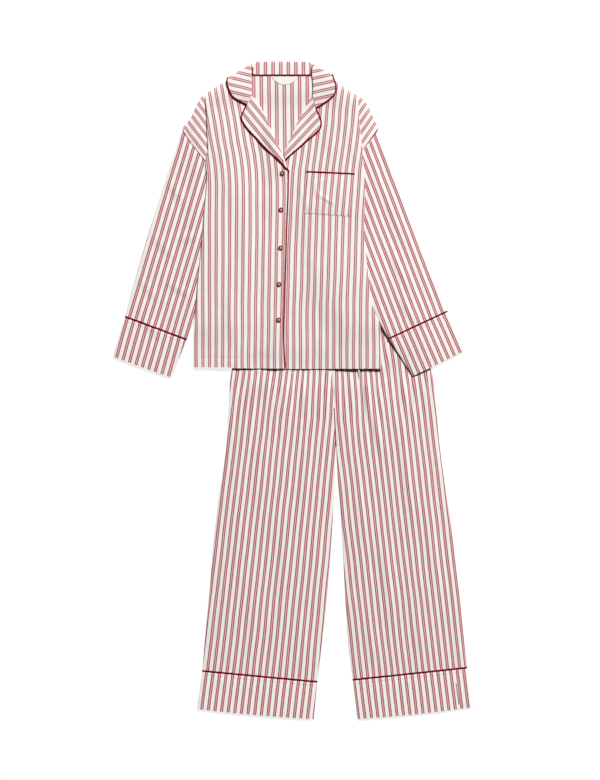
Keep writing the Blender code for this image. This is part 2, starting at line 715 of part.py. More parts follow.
def make_lapel(side):
    """The facing turned back on the front, with its soft roll."""
    rows = []
    for station in LAPELS[side]:
        roll, edge = flat(station.roll), flat(station.edge)
        inwards = (roll - edge).normalized()
        reach = LAPEL_LIFT / 2
        high, low = lapel_height(side, *roll), front_height(side, *roll)
        row = run(edge, roll - inwards * reach, lambda x, y: lapel_height(side, x, y), 2)
        row += turn(roll, inwards, high, low, 3)
        end = roll - inwards * reach
        row.append(Vector((end.x, end.y, low)))
        rows.append(row)
    cloth("lapel_" + side_name(side), rows)


def make_front_piping(side):
    """The cord along the lapel and then down the front edge to the hem."""
    lapel, table = LAPELS[side], FRONTS[side]
    points = []
    edges = [flat(station.edge) for station in lapel]
    for number, station in enumerate(lapel):
        before = edges[max(0, number - 1)]
        after = edges[min(len(edges) - 1, number + 1)]
        along = (after - before).normalized()
        out = Vector((along.y, -along.x)) * -side
        at = edges[number] + out * PIPE_OUT
        points.append(Vector((at.x, at.y, lapel_height(side, *edges[number]) + 0.2)))
    names = [row.name for row in table]
    for station in table[names.index("pocket"):]:
        at = flat(station.inner) + Vector((-side * PIPE_OUT, 0))
        points.append(Vector((at.x, at.y, front_height(side, *station.inner))))
    above, below = points[len(lapel) - 1], points[len(lapel)]
    crossing = above.lerp(below, 0.2)
    crossing.z = above.z
    beside = above.lerp(below, 0.5)
    beside.x = below.x - side * 0.6
    points[len(lapel):len(lapel)] = [crossing, beside]
    cord("front_piping_" + side_name(side), points)


def make_neck():
    steps = 6
    points = []
    for i in range(steps + 1):
        x = mix(NECK_PIPING_FROM, NECK_PIPING_TO, i / steps)
        points.append(Vector((x, NECK_PIPING_Y, back_height(x, NECK_PIPING_Y) + 0.2)))
    cord("neck_piping", points)
    rows = []
    for j in range(4):
        half = (LABEL_RIGHT - LABEL_LEFT) / 2 * math.cos(math.radians(24 * j))
        y = LABEL_TOP - LABEL_DEPTH * math.sin(math.radians(24 * j)) / math.sin(math.radians(72))
        middle = (LABEL_LEFT + LABEL_RIGHT) / 2
        rows.append(run(Vector((middle - half, y)), Vector((middle + half, y)),
                        lambda x, y: back_height(x, y) + ON_PANEL, 4))
    cloth("neck_label", rows, "label")


def make_pocket():
    top = [flat(point) for point in POCKET_CORNERS["top"]]
    foot = [flat(point) for point in POCKET_CORNERS["foot"]]
    on_front = lambda x, y: front_height(1, x, y) + ON_PANEL
    rows = []
    for j in range(4):
        left, right = top[0].lerp(foot[0], j / 3), top[1].lerp(foot[1], j / 3)
        rows.append(run(left, right, on_front, 6))
    cloth("pocket", rows)
    up = Vector((0.0, PIPE_OUT))
    cord("pocket_piping", run(top[0] + up, top[1] + up,
                              lambda x, y: front_height(1, x, y) + CLOTH + SEAM + PIPE, 6))


def make_buttons():
    """Five flat buttons sewn on the right front, each tilted with the cloth below it."""
    for number, (x, y) in enumerate(BUTTONS, start=1):
        name = "button_%d" % number
        slope_x = (front_height(-1, x + 5, y) - front_height(-1, x - 5, y)) / 10
        slope_y = (front_height(-1, x, y + 5) - front_height(-1, x, y - 5)) / 10
        normal = Vector((-slope_x, -slope_y, 1)).normalized()
        rise = CLOTH / 2 + SEAM + 0.2 + BUTTON_THICK / 2
        centre = Vector((x, y, front_height(-1, x, y))) + normal * rise
        bpy.ops.mesh.primitive_cylinder_add(vertices=16, radius=BUTTON_RADIUS * MM,
                                            depth=BUTTON_THICK * MM, location=centre * MM)
        button = bpy.context.object
        button.name = button.data.name = name
        button.rotation_mode = "QUATERNION"
        button.rotation_quaternion = Vector((0, 0, 1)).rotation_difference(normal)
        button.data.materials.append(material("button"))


def main():
    clear_scene()
    for side in (-1, 1):
        make_leg(side)
        make_hem_band(side)
    make_waistband()
    make_back()
    for side in (-1, 1):
        make_front(side)
        make_lapel(side)
        make_front_piping(side)
        make_sleeve(side)
    make_collar()
    make_neck()
    make_pocket()
    make_buttons()


main()
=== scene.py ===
# %% [markdown]
# # A striped pyjama set, laid flat
#
# A buttoned jacket lies over the top of its trousers on a pale floor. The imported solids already
# say where every cut piece is. This lesson dresses them: each piece becomes a thin cloth shell on
# the same form, with finer folds, a yarn-dyed stripe, piping, stitches and buttons.
# Lengths are written in millimetres and turned into metres at the very end, because a garment's
# sizes are easier to read that way.

import math
from collections import namedtuple

import bpy
import bmesh
import numpy as np
from mathutils import Matrix, Vector, noise


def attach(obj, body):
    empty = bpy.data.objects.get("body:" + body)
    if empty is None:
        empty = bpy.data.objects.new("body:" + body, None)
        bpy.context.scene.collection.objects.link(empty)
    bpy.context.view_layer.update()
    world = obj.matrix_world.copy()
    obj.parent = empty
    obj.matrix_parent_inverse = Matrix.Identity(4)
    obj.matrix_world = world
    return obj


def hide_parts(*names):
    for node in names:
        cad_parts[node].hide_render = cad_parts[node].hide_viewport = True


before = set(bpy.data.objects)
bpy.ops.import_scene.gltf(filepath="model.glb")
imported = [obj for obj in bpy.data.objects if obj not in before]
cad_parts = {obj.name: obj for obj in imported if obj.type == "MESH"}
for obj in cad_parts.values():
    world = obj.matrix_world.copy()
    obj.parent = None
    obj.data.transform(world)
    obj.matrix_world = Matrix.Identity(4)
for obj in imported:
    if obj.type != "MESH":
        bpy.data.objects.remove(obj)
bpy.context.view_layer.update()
MM = 0.001

# %% [markdown]
# ## The camera
#
# Flat clothes are drawn as seen from straight above. A wide lens held close would bend the hems
# and show the sleeves' sides, so the camera stands well back with a long lens. The view has to
# hold the set's length with a tenth to spare, and that fixes how high the camera stands.

# %% The camera
LENS = 100.0
SENSOR = 36.0
VIEW_HEIGHT = 1.95
VIEW_CENTRE = (0.0194, 0.0012)


def put_in_scene(name, data):
    """A new object for a mesh, curve, lamp or camera, linked to the scene."""
    thing = bpy.data.objects.new(name, data)
    bpy.context.scene.collection.objects.link(thing)
    return thing


camera_data = bpy.data.cameras.new("camera")
camera_data.lens = LENS
camera_data.sensor_width = SENSOR
camera_data.clip_end = 30.0
camera = put_in_scene("camera", camera_data)
camera.location = (*VIEW_CENTRE, VIEW_HEIGHT * LENS / SENSOR)
bpy.context.scene.camera = camera
print("the camera stands %.2f m above the floor" % camera.location.z)

# %% [markdown]
# ## How thick a laid garment is
#
# A garment laid flat is a stack: back, folded sides, sleeves, fronts. Naming the height of each
# layer once keeps them from cutting through each other, and a piece that lies on another simply
# asks how high that one is. CLOTH is the room one layer takes, PITCH the step between pressed
# layers and HOLLOW the air inside a sleeve or leg. The piping's sizes stand here too: the
# cord's radius, how far its middle stands off the seam, and how flat it is pressed.

# %% Heights of the layers
CLOTH = 1.0
PITCH = 1.8
HOLLOW = 2.2
LAPEL_LIFT = 2.0
BACK = CLOTH / 2
BACK_TURN = BACK + PITCH
SLEEVE_UNDER = BACK_TURN + PITCH
SLEEVE_UPPER = SLEEVE_UNDER + HOLLOW
FRONT_SIDE = SLEEVE_UPPER + 2 * PITCH
FRONT_SIDE_BARE = BACK_TURN + HOLLOW + PITCH
FRONT_MIDDLE = BACK + HOLLOW + CLOTH
SEAM_ABOVE_BACK = CLOTH + 0.3
PIPE = 2.0
PIPE_OUT = 1.9
RING_PIPE = 1.8
PRESSED = 0.65
print("the folded side of a front lies %.1f mm up" % FRONT_SIDE)

# %% [markdown]
# ## The pattern of the jacket
#
# A pattern cutter writes a garment down as a few measured lines. Each row below is such a line
# across a front: where its inner edge is, where its side is folded, how far the cloth turns
# under, and where the dropped shoulder ends. A curve through the rows gives every line between,
# which is far less to get wrong than a long list of points.

# %% The fronts' table
Front = namedtuple("Front", "name inner fold tuck drop loft")
RIGHT_FRONT = [
    Front("shoulder seam", (-121, 800), (-218, 741), 1, (-224, 738), 0.05),
    Front("shoulder roll", (-122, 792), (-217, 735), 4, (-229, 731), 0.7),
    Front("neck side", (-126, 770), (-216, 716), 9, (-240, 711), 1.0),
    Front("neck front", (-127, 742), (-214, 686), 15, (-254, 680), 1.0),
    Front("gorge", (-126, 721), (-213, 668), 20, (-266, 665), 1.0),
    Front("lapel top", (-88, 721), (-213, 655), 24, (-274, 652), 1.0),
    Front("lapel point", (-71, 691), (-211, 624), 34, (-254, 620), 1.0),
    Front("chest", (-52, 651), (-210, 596), 43, (-232, 592), 1.0),
    Front("lapel low", (-36, 614), (-216, 569), 54, (-214, 570), 1.0),
    Front("top button", (-17, 571), (-213, 539), 62, (-187, 541), 1.0),
    Front("pocket", (-12, 536), (-214, 506), 72, (-159, 509), 1.0),
    Front("armpit", (-13, 476), (-218, 464), 88, (-136, 469), 1.0),
    Front("second button", (-16, 406), (-223, 401), 86, None, 1.0),
    Front("waist", (-18, 336), (-229, 336), 80, None, 1.0),
    Front("fourth button", (-20, 266), (-236, 266), 74, None, 1.0),
    Front("hip", (-22, 196), (-241, 196), 68, None, 1.0),
    Front("flare", (-23, 160), (-243, 160), 64, None, 1.0),
    Front("low hip", (-23, 116), (-245, 116), 60, None, 1.0),
    Front("hem", (-20, 57), (-245, 58), 55, None, 1.0),
]
LEFT_FRONT = [
    Front("shoulder seam", (66, 800), (164, 736), 1, (172, 733), 0.05),
    Front("shoulder roll", (67, 792), (164, 730), 4, (178, 726), 0.7),
    Front("neck side", (75, 770), (164, 716), 9, (189, 711), 1.0),
    Front("neck front", (76, 742), (166, 689), 15, (202, 684), 1.0),
    Front("gorge", (71, 721), (167, 672), 20, (209, 667), 1.0),
    Front("lapel top", (40, 721), (168, 661), 24, (214, 652), 1.0),
    Front("lapel point", (24, 691), (171, 631), 34, (197, 627), 1.0),
    Front("chest", (4, 649), (175, 604), 43, (178, 604), 1.0),
    Front("lapel low", (-12, 611), (177, 574), 54, (154, 574), 1.0),
    Front("top button", (-31, 569), (180, 541), 62, (132, 542), 1.0),
    Front("pocket", (-38, 536), (181, 506), 72, (112, 514), 1.0),
    Front("armpit", (-39, 476), (181, 461), 98, (89, 469), 1.0),
    Front("second button", (-41, 406), (179, 404), 88, None, 1.0),
    Front("waist", (-42, 336), (184, 336), 80, None, 1.0),
    Front("fourth button", (-43, 266), (192, 266), 74, None, 1.0),
    Front("hip", (-44, 206), (201, 206), 68, None, 1.0),
    Front("flare", (-45, 164), (219, 164), 64, None, 1.0),
    Front("low hip", (-45, 114), (219, 114), 60, None, 1.0),
    Front("hem", (-44, 56), (223, 57), 55, None, 1.0),
]
FRONTS = {-1: RIGHT_FRONT, 1: LEFT_FRONT}
ARMPIT = [row.name for row in RIGHT_FRONT].index("armpit")
GORGE = [row.name for row in RIGHT_FRONT].index("gorge")
LAPEL_TOP = GORGE + 1
LAPEL_LOW = [row.name for row in RIGHT_FRONT].index("lapel low")
print(len(RIGHT_FRONT), "lines across each front; the armpit is line", ARMPIT)

# %% [markdown]
# ## The pattern of the back, the sleeves and the legs
#
# Sleeves and legs are tubes pressed flat, so a line across one needs only its outer and its
# inner fold. The back shares its sides with the fronts and needs no more than its top edge.

# %% The back and the sleeves
BACK_TOP = [(-215.5, 742.5), (-170, 769), (-121, 800), (-97, 786.3), (-23, 786.3), (46, 786.3),
            (66, 800), (115, 768), (161.6, 737.6)]
NECK_SHARE = {"shoulder seam": 1.0, "shoulder roll": 0.97, "neck side": 0.8, "neck front": 0.5,
              "lapel top": 0.25, "lapel point": 0.08}

Station = namedtuple("Station", "name outer inner")
RIGHT_SLEEVE = [
    Station("head", (-274, 652), (-136, 469)),
    Station("upper arm", (-293, 596), (-153, 429)),
    Station("biceps", (-316, 531), (-173, 381)),
    Station("above elbow", (-341, 449), (-196, 324)),
    Station("elbow", (-366, 369), (-216, 266)),
    Station("forearm", (-389, 289), (-232, 211)),
    Station("wrist", (-406, 231), (-248, 164)),
    Station("cuff seam", (-417, 185), (-264, 128)),
    Station("cuff edge", (-448, 85), (-301, 32)),
]
LEFT_SLEEVE = [
    Station("head", (214, 650), (89, 469)),
    Station("upper arm", (234, 596), (104, 429)),
    Station("biceps", (259, 529), (127, 379)),
    Station("above elbow", (289, 446), (152, 321)),
    Station("elbow", (319, 369), (174, 266)),
    Station("forearm", (349, 294), (197, 214)),
    Station("wrist", (369, 244), (219, 169)),
    Station("cuff seam", (387, 198), (241, 130)),
    Station("cuff edge", (429, 99), (301, 36)),
]
SLEEVES = {-1: RIGHT_SLEEVE, 1: LEFT_SLEEVE}
HEAD_SHARE = [1.0, 0.45, 0.12, 0, 0, 0, 0, 0]
print(len(RIGHT_SLEEVE), "lines across each sleeve")

# %% The legs
RIGHT_LEG = [
    Station("waist", (-81, 211), (97, 211)),
    Station("hip", (-116, 139), (98, 139)),
    Station("seat", (-151, 51), (99, 54)),
    Station("rise", (-157, -24), (104, -16)),
    Station("crotch", (-160, -69), (105.8, -66)),
    Station("thigh", (-164, -136), (109.6, -139)),
    Station("mid thigh", (-174, -211), (107.3, -219)),
    Station("above knee", (-184, -274), (103.2, -286)),
    Station("knee", (-197, -386), (96, -401)),
    Station("calf", (-206, -499), (86, -519)),
    Station("shin", (-217, -611), (74, -634)),
    Station("hem seam", (-224, -700), (62, -727)),
    Station("hem edge", (-237, -796), (54, -821)),
]
LEFT_LEG = [
    Station("waist", (277, 211), (97, 211)),
    Station("hip", (312, 139), (98, 139)),
    Station("seat", (347, 51), (99, 54)),
    Station("rise", (357, -24), (104, -16)),
    Station("crotch", (362, -69), (106.0, -66)),
    Station("thigh", (368, -136), (110.0, -139)),
    Station("mid thigh", (378, -211), (114, -219)),
    Station("above knee", (387, -274), (120, -286)),
    Station("knee", (403, -386), (127, -401)),
    Station("calf", (417, -499), (133, -519)),
    Station("shin", (428, -611), (141, -634)),
    Station("hem seam", (436, -692), (152, -722)),
    Station("hem edge", (447, -792), (164, -821)),
]
LEGS = {-1: RIGHT_LEG, 1: LEFT_LEG}
CROTCH = 4
SIDE_SEAM_IN = 25.0
INSEAM_UNDER = 25.0
SIDES = {-1: "right", 1: "left"}
print("a leg is %.0f mm long" % (LEGS[1][0].outer[1] - LEGS[1][-1].outer[1]))

# %% [markdown]
# ## The pattern of the collar and the trims
#
# A collar goes round the neck in one strip: it is sewn at the neck seam, rolled over and piped
# at its outer edge. Each row is one place along that strip. A lapel needs its roll line and its
# edge, the pocket its corners and a button one point.

# %% The collar, the lapels and the trims
# The collar, from the right point round the back of the neck to the left point. seam is the
# neck seam, roll the folded top, edge the piped outer edge; face is 90 where the fall lies on
# the front, 0 where it passes over the shoulder, -90 where it lies under the back.
Collar = namedtuple("Collar", "seam roll edge face")
COLLAR = [
    Collar((-123.5, 725), (-102, 736), (-112, 715.5), 90),
    Collar((-125, 746), (-102, 756), (-145, 733), 90),
    Collar((-124, 769), (-102, 776), (-158, 756), 90),
    Collar((-119.5, 785), (-102, 795), (-161, 770), 90),
    Collar((-114, 803), (-103, 811), (-158, 778.5), 45),
    Collar((-113, 805), (-103, 812), (-157, 779.5), 0),
    Collar((-110, 804), (-102, 814), (-153, 781), -60),
    Collar((-104, 797), (-97, 818), (-134, 770), -90),
    Collar((-94, 789.8), (-90, 821), (-106, 763), -90),
    Collar((-61, 789.8), (-61, 822), (-63, 766), -90),
    Collar((-23, 789.8), (-23, 822), (-23, 766), -90),
    Collar((14, 789.8), (14, 822), (17, 766), -90),
    Collar((43, 789.8), (41, 821), (57, 763), -90),
    Collar((51, 797), (46, 817), (76, 774), -90),
    Collar((57, 804), (51, 813), (92, 788), -60),
    Collar((59, 805), (52, 811), (95, 787), 0),
    Collar((60, 803), (52, 810), (97, 786.5), 45),
    Collar((68.5, 785), (49, 795), (103, 775), 90),
    Collar((73.5, 769), (51, 776), (107, 761), 90),
    Collar((74.5, 746), (52, 756), (101, 736), 90),
    Collar((69, 725), (51, 738), (58, 706), 90),
]

# The lapels: roll line and piped outer edge, from the gorge down to the top button.
Lapel = namedtuple("Lapel", "roll edge")
RIGHT_LAPEL = [
    Lapel((-100, 733.5), (-112, 712.5)), Lapel((-91, 726), (-122, 692)), Lapel((-79, 707), (-125, 680)),
    Lapel((-68, 684), (-113, 658)), Lapel((-56, 658), (-89, 632)), Lapel((-42, 626), (-63, 604)),
    Lapel((-29, 599), (-39, 582)), Lapel((-21.5, 582), (-20, 564)),
]
LEFT_LAPEL = [
    Lapel((50, 735.5), (58, 703)), Lapel((41, 721.5), (64, 688)), Lapel((29, 701), (70, 671)),
    Lapel((18, 679), (66, 652)), Lapel((7, 655), (42, 631)), Lapel((-4, 630), (18, 610)),
    Lapel((-14, 607), (-2, 593)), Lapel((-21, 591), (-17, 579)),
]
LAPELS = {-1: RIGHT_LAPEL, 1: LEFT_LAPEL}

POCKET_CORNERS = {"top": ((35, 544.5), (156, 538.5)), "foot": ((31, 443), (146, 435))}
BUTTONS = [(-25, 542), (-28, 451), (-29, 356), (-33, 265), (-34, 176)]
LABEL_TOP, LABEL_DEPTH, LABEL_LEFT, LABEL_RIGHT = 784.0, 20.0, -50.0, 13.0
print(len(COLLAR), "lines round the collar,", len(BUTTONS), "buttons")

# %% [markdown]
# ## Curves through the tables
#
# A Catmull-Rom spline goes through every row, so a table of a dozen lines gives a hem or a side
# as smooth as a drawn one. Row numbers may be fractions: 2.5 is half way from row 2 to row 3.

# %% Small helpers
def mix(a, b, t):
    return a + (b - a) * t


def ramp(t):
    """0 below 0, 1 above 1 and straight between."""
    return min(1.0, max(0.0, t))


def ease(t):
    """0 below 0, 1 above 1 and a smooth S between."""
    t = ramp(t)
    return t * t * (3.0 - 2.0 * t)


def flat(point):
    return Vector((point[0], point[1]))


def through(values, t):
    """Smooth value at row t of a list of numbers or vectors."""
    k = min(max(int(t), 0), len(values) - 2)
    f = t - k
    before, here = values[max(k - 1, 0)], values[k]
    there, after = values[k + 1], values[min(k + 2, len(values) - 1)]
    bend = (before * 2 - here * 5 + there * 4 - after) * f * f
    twist = (here * 3 - before - there * 3 + after) * f ** 3
    return (here * 2 + (there - before) * f + bend + twist) * 0.5


def places(points, step):
    """Row numbers about step apart along a list of points."""
    found = []
    for k in range(len(points) - 1):
        count = max(1, round((points[k + 1] - points[k]).length / step))
        found += [k + i / count for i in range(count)]
    return found + [len(points) - 1]


def column(table, name):
    """One named column of a table as numbers or vectors, the last known value repeated."""
    values = []
    for row in table:
        value = getattr(row, name)
        if value is None:
            value = values[-1]
        values.append(flat(value) if isinstance(value, tuple) else value)
    return values


def line_by_height(points):
    """A line's x as a function of y, for lines that run down the garment."""
    ys, xs = [], []
    for t in places(points, 6.0):
        point = through(points, t)
        if not ys or point.y < ys[-1] - 0.5:
            ys.append(point.y)
            xs.append(point.x)
    ys, xs = np.array(ys[::-1]), np.array(xs[::-1])
    return lambda y: float(np.interp(y, ys, xs))


print("a quarter of the way along, ease has risen to %.2f" % ease(0.25))

# %% Lines that other pieces ask for
def both_sides(tables, name):
    """One column of the right and of the left table, each as a line by height."""
    return {side: line_by_height(column(tables[side], name)) for side in SIDES}


FOLD_X = both_sides(FRONTS, "fold")
SLEEVE_OUTER, SLEEVE_INNER = both_sides(SLEEVES, "outer"), both_sides(SLEEVES, "inner")
LEG_OUTER, LEG_INNER = both_sides(LEGS, "outer"), both_sides(LEGS, "inner")
ARMHOLE = {side: column(FRONTS[side], "drop")[LAPEL_TOP:ARMPIT + 1] for side in SIDES}
TUCK_Y = {side: np.array([row.fold[1] for row in FRONTS[side]][::-1]) for side in SIDES}
TUCK = {side: np.array([row.tuck for row in FRONTS[side]][::-1]) for side in SIDES}
print("at the chest the fronts are folded at x = %.0f and %.0f mm" % (FOLD_X[-1](600), FOLD_X[1](600)))

# %% [markdown]
# ## Creases one by one
#
# Ironed cotton still keeps a few soft ridges and hollows: where a pleat lets go, where a sleeve
# bends, under the waist. Simulation would crumple the cloth in ways that can't be steered, so
# each crease is one line of a table, with its place, length, width, direction and height. Beside
# each ridge the cloth sinks a little, as pushed cloth does. A slow noise with a fixed pattern
# keeps the flat stretches from looking like card.

# %% A field of creases
Crease = namedtuple("Crease", "x y length width angle height")
SINK, SINK_AT = 0.45, 1.7
CREASE_REACH = 4.0


def crease_field(table):
    """A function of x and y that adds up the ridges and hollows of a table."""
    rows = [(c, math.cos(math.radians(c.angle)), math.sin(math.radians(c.angle))) for c in table]

    def height(x, y):
        total = 0.0
        for crease, cos, sin in rows:
            along = ((x - crease.x) * cos + (y - crease.y) * sin) / (crease.length / 2)
            if abs(along) < 1.0:
                across = ((y - crease.y) * cos - (x - crease.x) * sin) / crease.width
                if abs(across) < CREASE_REACH:
                    fade = (1 - along * along) ** 2
                    ridge = math.exp(-across * across) - SINK * math.exp(-(across - SINK_AT) ** 2)
                    total += crease.height * fade * ridge
        return total

    return height


def waver(x, y, seed, size=70.0, amount=0.5):
    """A slow, uneven rise and fall of pressed cloth, the same on every run."""
    return amount * noise.noise(Vector((x / size, y / (1.6 * size), seed)))


one_crease = crease_field([Crease(0, 0, 90, 5, 0, 2)])
print("a crease rises %.1f mm at its middle and sinks %.1f mm beside it"
      % (one_crease(0, 0), -one_crease(0, 9)))


# %% Creases of the fronts
FRONT_CREASES = {
    -1: crease_field([
        Crease(-180, 560, 190, 7, 84, 1.4), Crease(-150, 470, 150, 9, 96, 1.1),
        Crease(-110, 600, 120, 8, 68, 0.9), Crease(-120, 400, 260, 14, 92, 1.2),
        Crease(-70, 330, 220, 10, 85, 0.9), Crease(-190, 300, 260, 9, 88, 1.2),
        Crease(-150, 180, 200, 12, 96, 1.3), Crease(-80, 120, 140, 9, 82, 1.0),
        Crease(-210, 130, 120, 7, 90, 0.9), Crease(-60, 480, 110, 8, 75, 0.8),
    ]),
    1: crease_field([
        Crease(150, 610, 150, 8, 104, 1.2), Crease(100, 590, 120, 9, 96, 0.8),
        Crease(160, 330, 240, 9, 93, 1.2), Crease(110, 350, 180, 12, 88, 1.1),
        Crease(50, 330, 240, 10, 95, 0.9), Crease(130, 190, 210, 12, 84, 1.3),
        Crease(60, 140, 160, 10, 100, 1.0), Crease(190, 130, 120, 8, 90, 1.1),
        Crease(10, 250, 200, 8, 90, 0.7), Crease(30, 480, 120, 7, 110, 0.7),
    ]),
}
print("the right front's first crease stands %.1f mm high" % FRONT_CREASES[-1](-180, 560))

# %% Creases of the sleeves
SLEEVE_CREASES = {
    -1: crease_field([
        Crease(-262, 600, 130, 8, 58, 1.2), Crease(-235, 560, 140, 7, 48, 1.0),
        Crease(-250, 450, 200, 9, 70, 1.4), Crease(-310, 420, 220, 10, 75, 1.2),
        Crease(-280, 310, 180, 8, 62, 1.3), Crease(-340, 280, 160, 9, 78, 1.0),
        Crease(-300, 200, 110, 7, 66, 1.1), Crease(-370, 190, 90, 8, 80, 0.9),
        Crease(-290, 500, 150, 12, 122, 1.3), Crease(-330, 370, 140, 10, 134, 1.2),
        Crease(-250, 385, 110, 9, 12, 1.1), Crease(-365, 262, 120, 9, 128, 1.1),
        Crease(-285, 255, 110, 8, 150, 1.1), Crease(-345, 150, 90, 9, 140, 0.8),
    ]),
    1: crease_field([
        Crease(232, 585, 130, 8, 118, 1.2), Crease(215, 520, 150, 7, 106, 1.0),
        Crease(255, 430, 220, 10, 108, 1.3), Crease(290, 380, 200, 9, 114, 1.1),
        Crease(270, 300, 180, 9, 118, 1.4), Crease(330, 270, 150, 8, 108, 1.0),
        Crease(290, 200, 110, 8, 122, 1.2), Crease(350, 190, 90, 7, 110, 0.9),
    ]),
}
print("a crease above the right elbow stands %.1f mm high" % SLEEVE_CREASES[-1](-250, 450))

# %% Creases of the legs
LEG_CREASES = {
    -1: crease_field([
        Crease(28, 10, 150, 5, 88, 2.6), Crease(-60, 10, 170, 7, 82, 1.8),
        Crease(-105, 0, 150, 6, 78, 1.4), Crease(-20, -10, 180, 8, 86, 1.5),
        Crease(70, -20, 120, 6, 84, 1.2), Crease(-80, -200, 300, 14, 82, 1.6),
        Crease(30, -240, 320, 12, 87, 1.3), Crease(-130, -380, 260, 12, 84, 1.3),
        Crease(-20, -470, 300, 15, 85, 1.5), Crease(-100, -590, 200, 10, 82, 1.2),
        Crease(20, -620, 180, 12, 86, 1.1), Crease(60, -380, 160, 9, 85, 1.0),
    ]),
    1: crease_field([
        Crease(185, 12, 150, 6, 96, 2.2), Crease(215, 0, 160, 5, 100, 1.8),
        Crease(150, -10, 150, 7, 93, 1.5), Crease(280, 5, 170, 8, 100, 1.6),
        Crease(330, -10, 130, 6, 98, 1.2), Crease(205, -80, 250, 10, 107, 2.0),
        Crease(290, -220, 300, 13, 98, 1.5), Crease(170, -280, 260, 11, 95, 1.2),
        Crease(350, -400, 280, 12, 96, 1.3), Crease(240, -480, 300, 15, 95, 1.5),
        Crease(310, -610, 200, 10, 97, 1.2), Crease(200, -630, 170, 11, 94, 1.0),
    ]),
}
print("the pleat below the hem stands %.1f mm high" % LEG_CREASES[-1](28, 10))

# %% Small folds at the armholes
PUCKERS = {
    -1: crease_field([
        Crease(-262, 656, 34, 2.6, 8, 1.7), Crease(-257, 666, 34, 2.6, 34, 1.4),
        Crease(-264, 644, 32, 2.4, -16, 1.3), Crease(-250, 634, 40, 2.8, 62, 1.1),
        Crease(-238, 606, 36, 2.8, 70, 0.9), Crease(-222, 584, 36, 2.8, 74, 0.9),
    ]),
    1: crease_field([
        Crease(205, 640, 30, 2.6, 140, 0.9), Crease(192, 622, 34, 2.8, 112, 0.8),
        Crease(181, 606, 30, 2.6, 106, 0.7),
    ]),
}
print("a small fold at the right armhole stands %.1f mm high" % PUCKERS[-1](-262, 656))

# %% [markdown]
# ## The height of the cloth anywhere
#
# Each of these functions answers one question: how high is this layer above the floor at x, y?
# The jacket climbs onto the trousers, the front climbs onto its own folded side, the right front
# climbs over the left one. Because all pieces ask the same functions, a pocket or a lapel follows
# every crease of the front that it lies on.

# %% Heights of the jacket
WAISTBAND_TOP = 246.0
WAIST = (-76.0, 274.0)
HIP_FLARE = 0.38
RAMP_UP, RAMP_OUT = 180.0, 80.0
OVER_TROUSERS, NECK_LIFT = 3.7, 3.1
NECK_X, NECK_FROM, NECK_REACH, NECK_RAMP = -31.0, 700.0, 185.0, 50.0
SLEEVE_RAMP, TUCK_RAMP = 60.0, 110.0
OVERLAP_FROM, OVERLAP_RAMP = -75.0, 27.0
SLEEVE_OUT_FROM, SLEEVE_OUT_TO = 176.0, 100.0
HEM_Y = 57.0
HEM_DEEP = 27.0
HEM_SINK, HEM_SINK_REACH = 0.6, 45.0
FRONT_HEM_SINK, FRONT_HEM_REACH = 1.6, 60.0
OVERLAP_LOW, OVERLAP_HIGH = 2.5, 4.2
TOP_BUTTON_Y, TOP_BUTTON_RAMP = 520.0, 35.0
CREASED = {-1: 1.0, 1: 0.8}


def ground(x, y):
    """What the jacket lies on: the trousers below its waist, the collar's fall at its neck."""
    below = WAISTBAND_TOP - y
    spread = HIP_FLARE * max(0.0, below)
    beside = ease((x - WAIST[0] + spread) / RAMP_OUT + 1) * ease((WAIST[1] + spread - x) / RAMP_OUT + 1)
    neck = ease((y - NECK_FROM) / NECK_RAMP) * ease((NECK_REACH - abs(x - NECK_X)) / NECK_RAMP)
    over = OVER_TROUSERS - HEM_SINK * ease((HEM_Y + HEM_SINK_REACH - y) / HEM_SINK_REACH)
    return over * beside * ease(below / RAMP_UP + 1) + NECK_LIFT * neck


def inside(side, x, y):
    """Distance inwards from the folded side of the jacket."""
    return side * (FOLD_X[side](y) - x)


def stitched(distance, width=2.2, depth=0.45):
    """The small trough that a row of stitches pulls into the cloth."""
    return -depth * math.exp(-(distance / width) ** 2)


def front_height(side, x, y):
    """The front: low in the middle, high over its folded side, creased, with a stitched hem."""
    with_sleeve = ease((y - SLEEVE_OUT_TO) / (SLEEVE_OUT_FROM - SLEEVE_OUT_TO))
    high = mix(FRONT_SIDE_BARE, FRONT_SIDE, with_sleeve)
    tuck = float(np.interp(y, TUCK_Y[side], TUCK[side]))
    far_in = inside(side, x, y)
    height = ground(x, y) + mix(FRONT_MIDDLE, high, ease(1.0 - (far_in - tuck) / TUCK_RAMP))
    if side < 0:
        lift = mix(OVERLAP_LOW, OVERLAP_HIGH, ease((y - TOP_BUTTON_Y) / TOP_BUTTON_RAMP))
        height += lift * ease((x - OVERLAP_FROM) / OVERLAP_RAMP)
    free = 1.0 + 1.2 * ease((far_in - tuck) / 40)
    height += CREASED[side] * FRONT_CREASES[side](x, y) * ease((far_in + 4) / 24) * free
    height += (waver(x, y, 3.0 + side) + waver(x, y, 5.0 + side, 24.0, 0.22)) * ease(far_in / 20) * free
    at_hem = ease((HEM_Y + FRONT_HEM_REACH - y) / FRONT_HEM_REACH)
    height -= FRONT_HEM_SINK * at_hem * ease((far_in - tuck) / TUCK_RAMP)
    return height + stitched(y - HEM_Y - HEM_DEEP)


def back_height(x, y):
    """The back, pressed flat but for a slow waver."""
    return ground(x, y) + BACK + max(0.0, waver(x, y, 15.0, 80.0, 0.4))


print("the jacket's fronts rise to %.1f mm over the trousers" % front_height(1, 100, 100))

# %% Heights of the sleeves
def sleeve_base(side, x, y):
    """The sleeve rises from the floor to lie on the folded side of the back."""
    return ground(x, y) + 2 * PITCH * ease((inside(side, x, y) - 4) / SLEEVE_RAMP + 1)


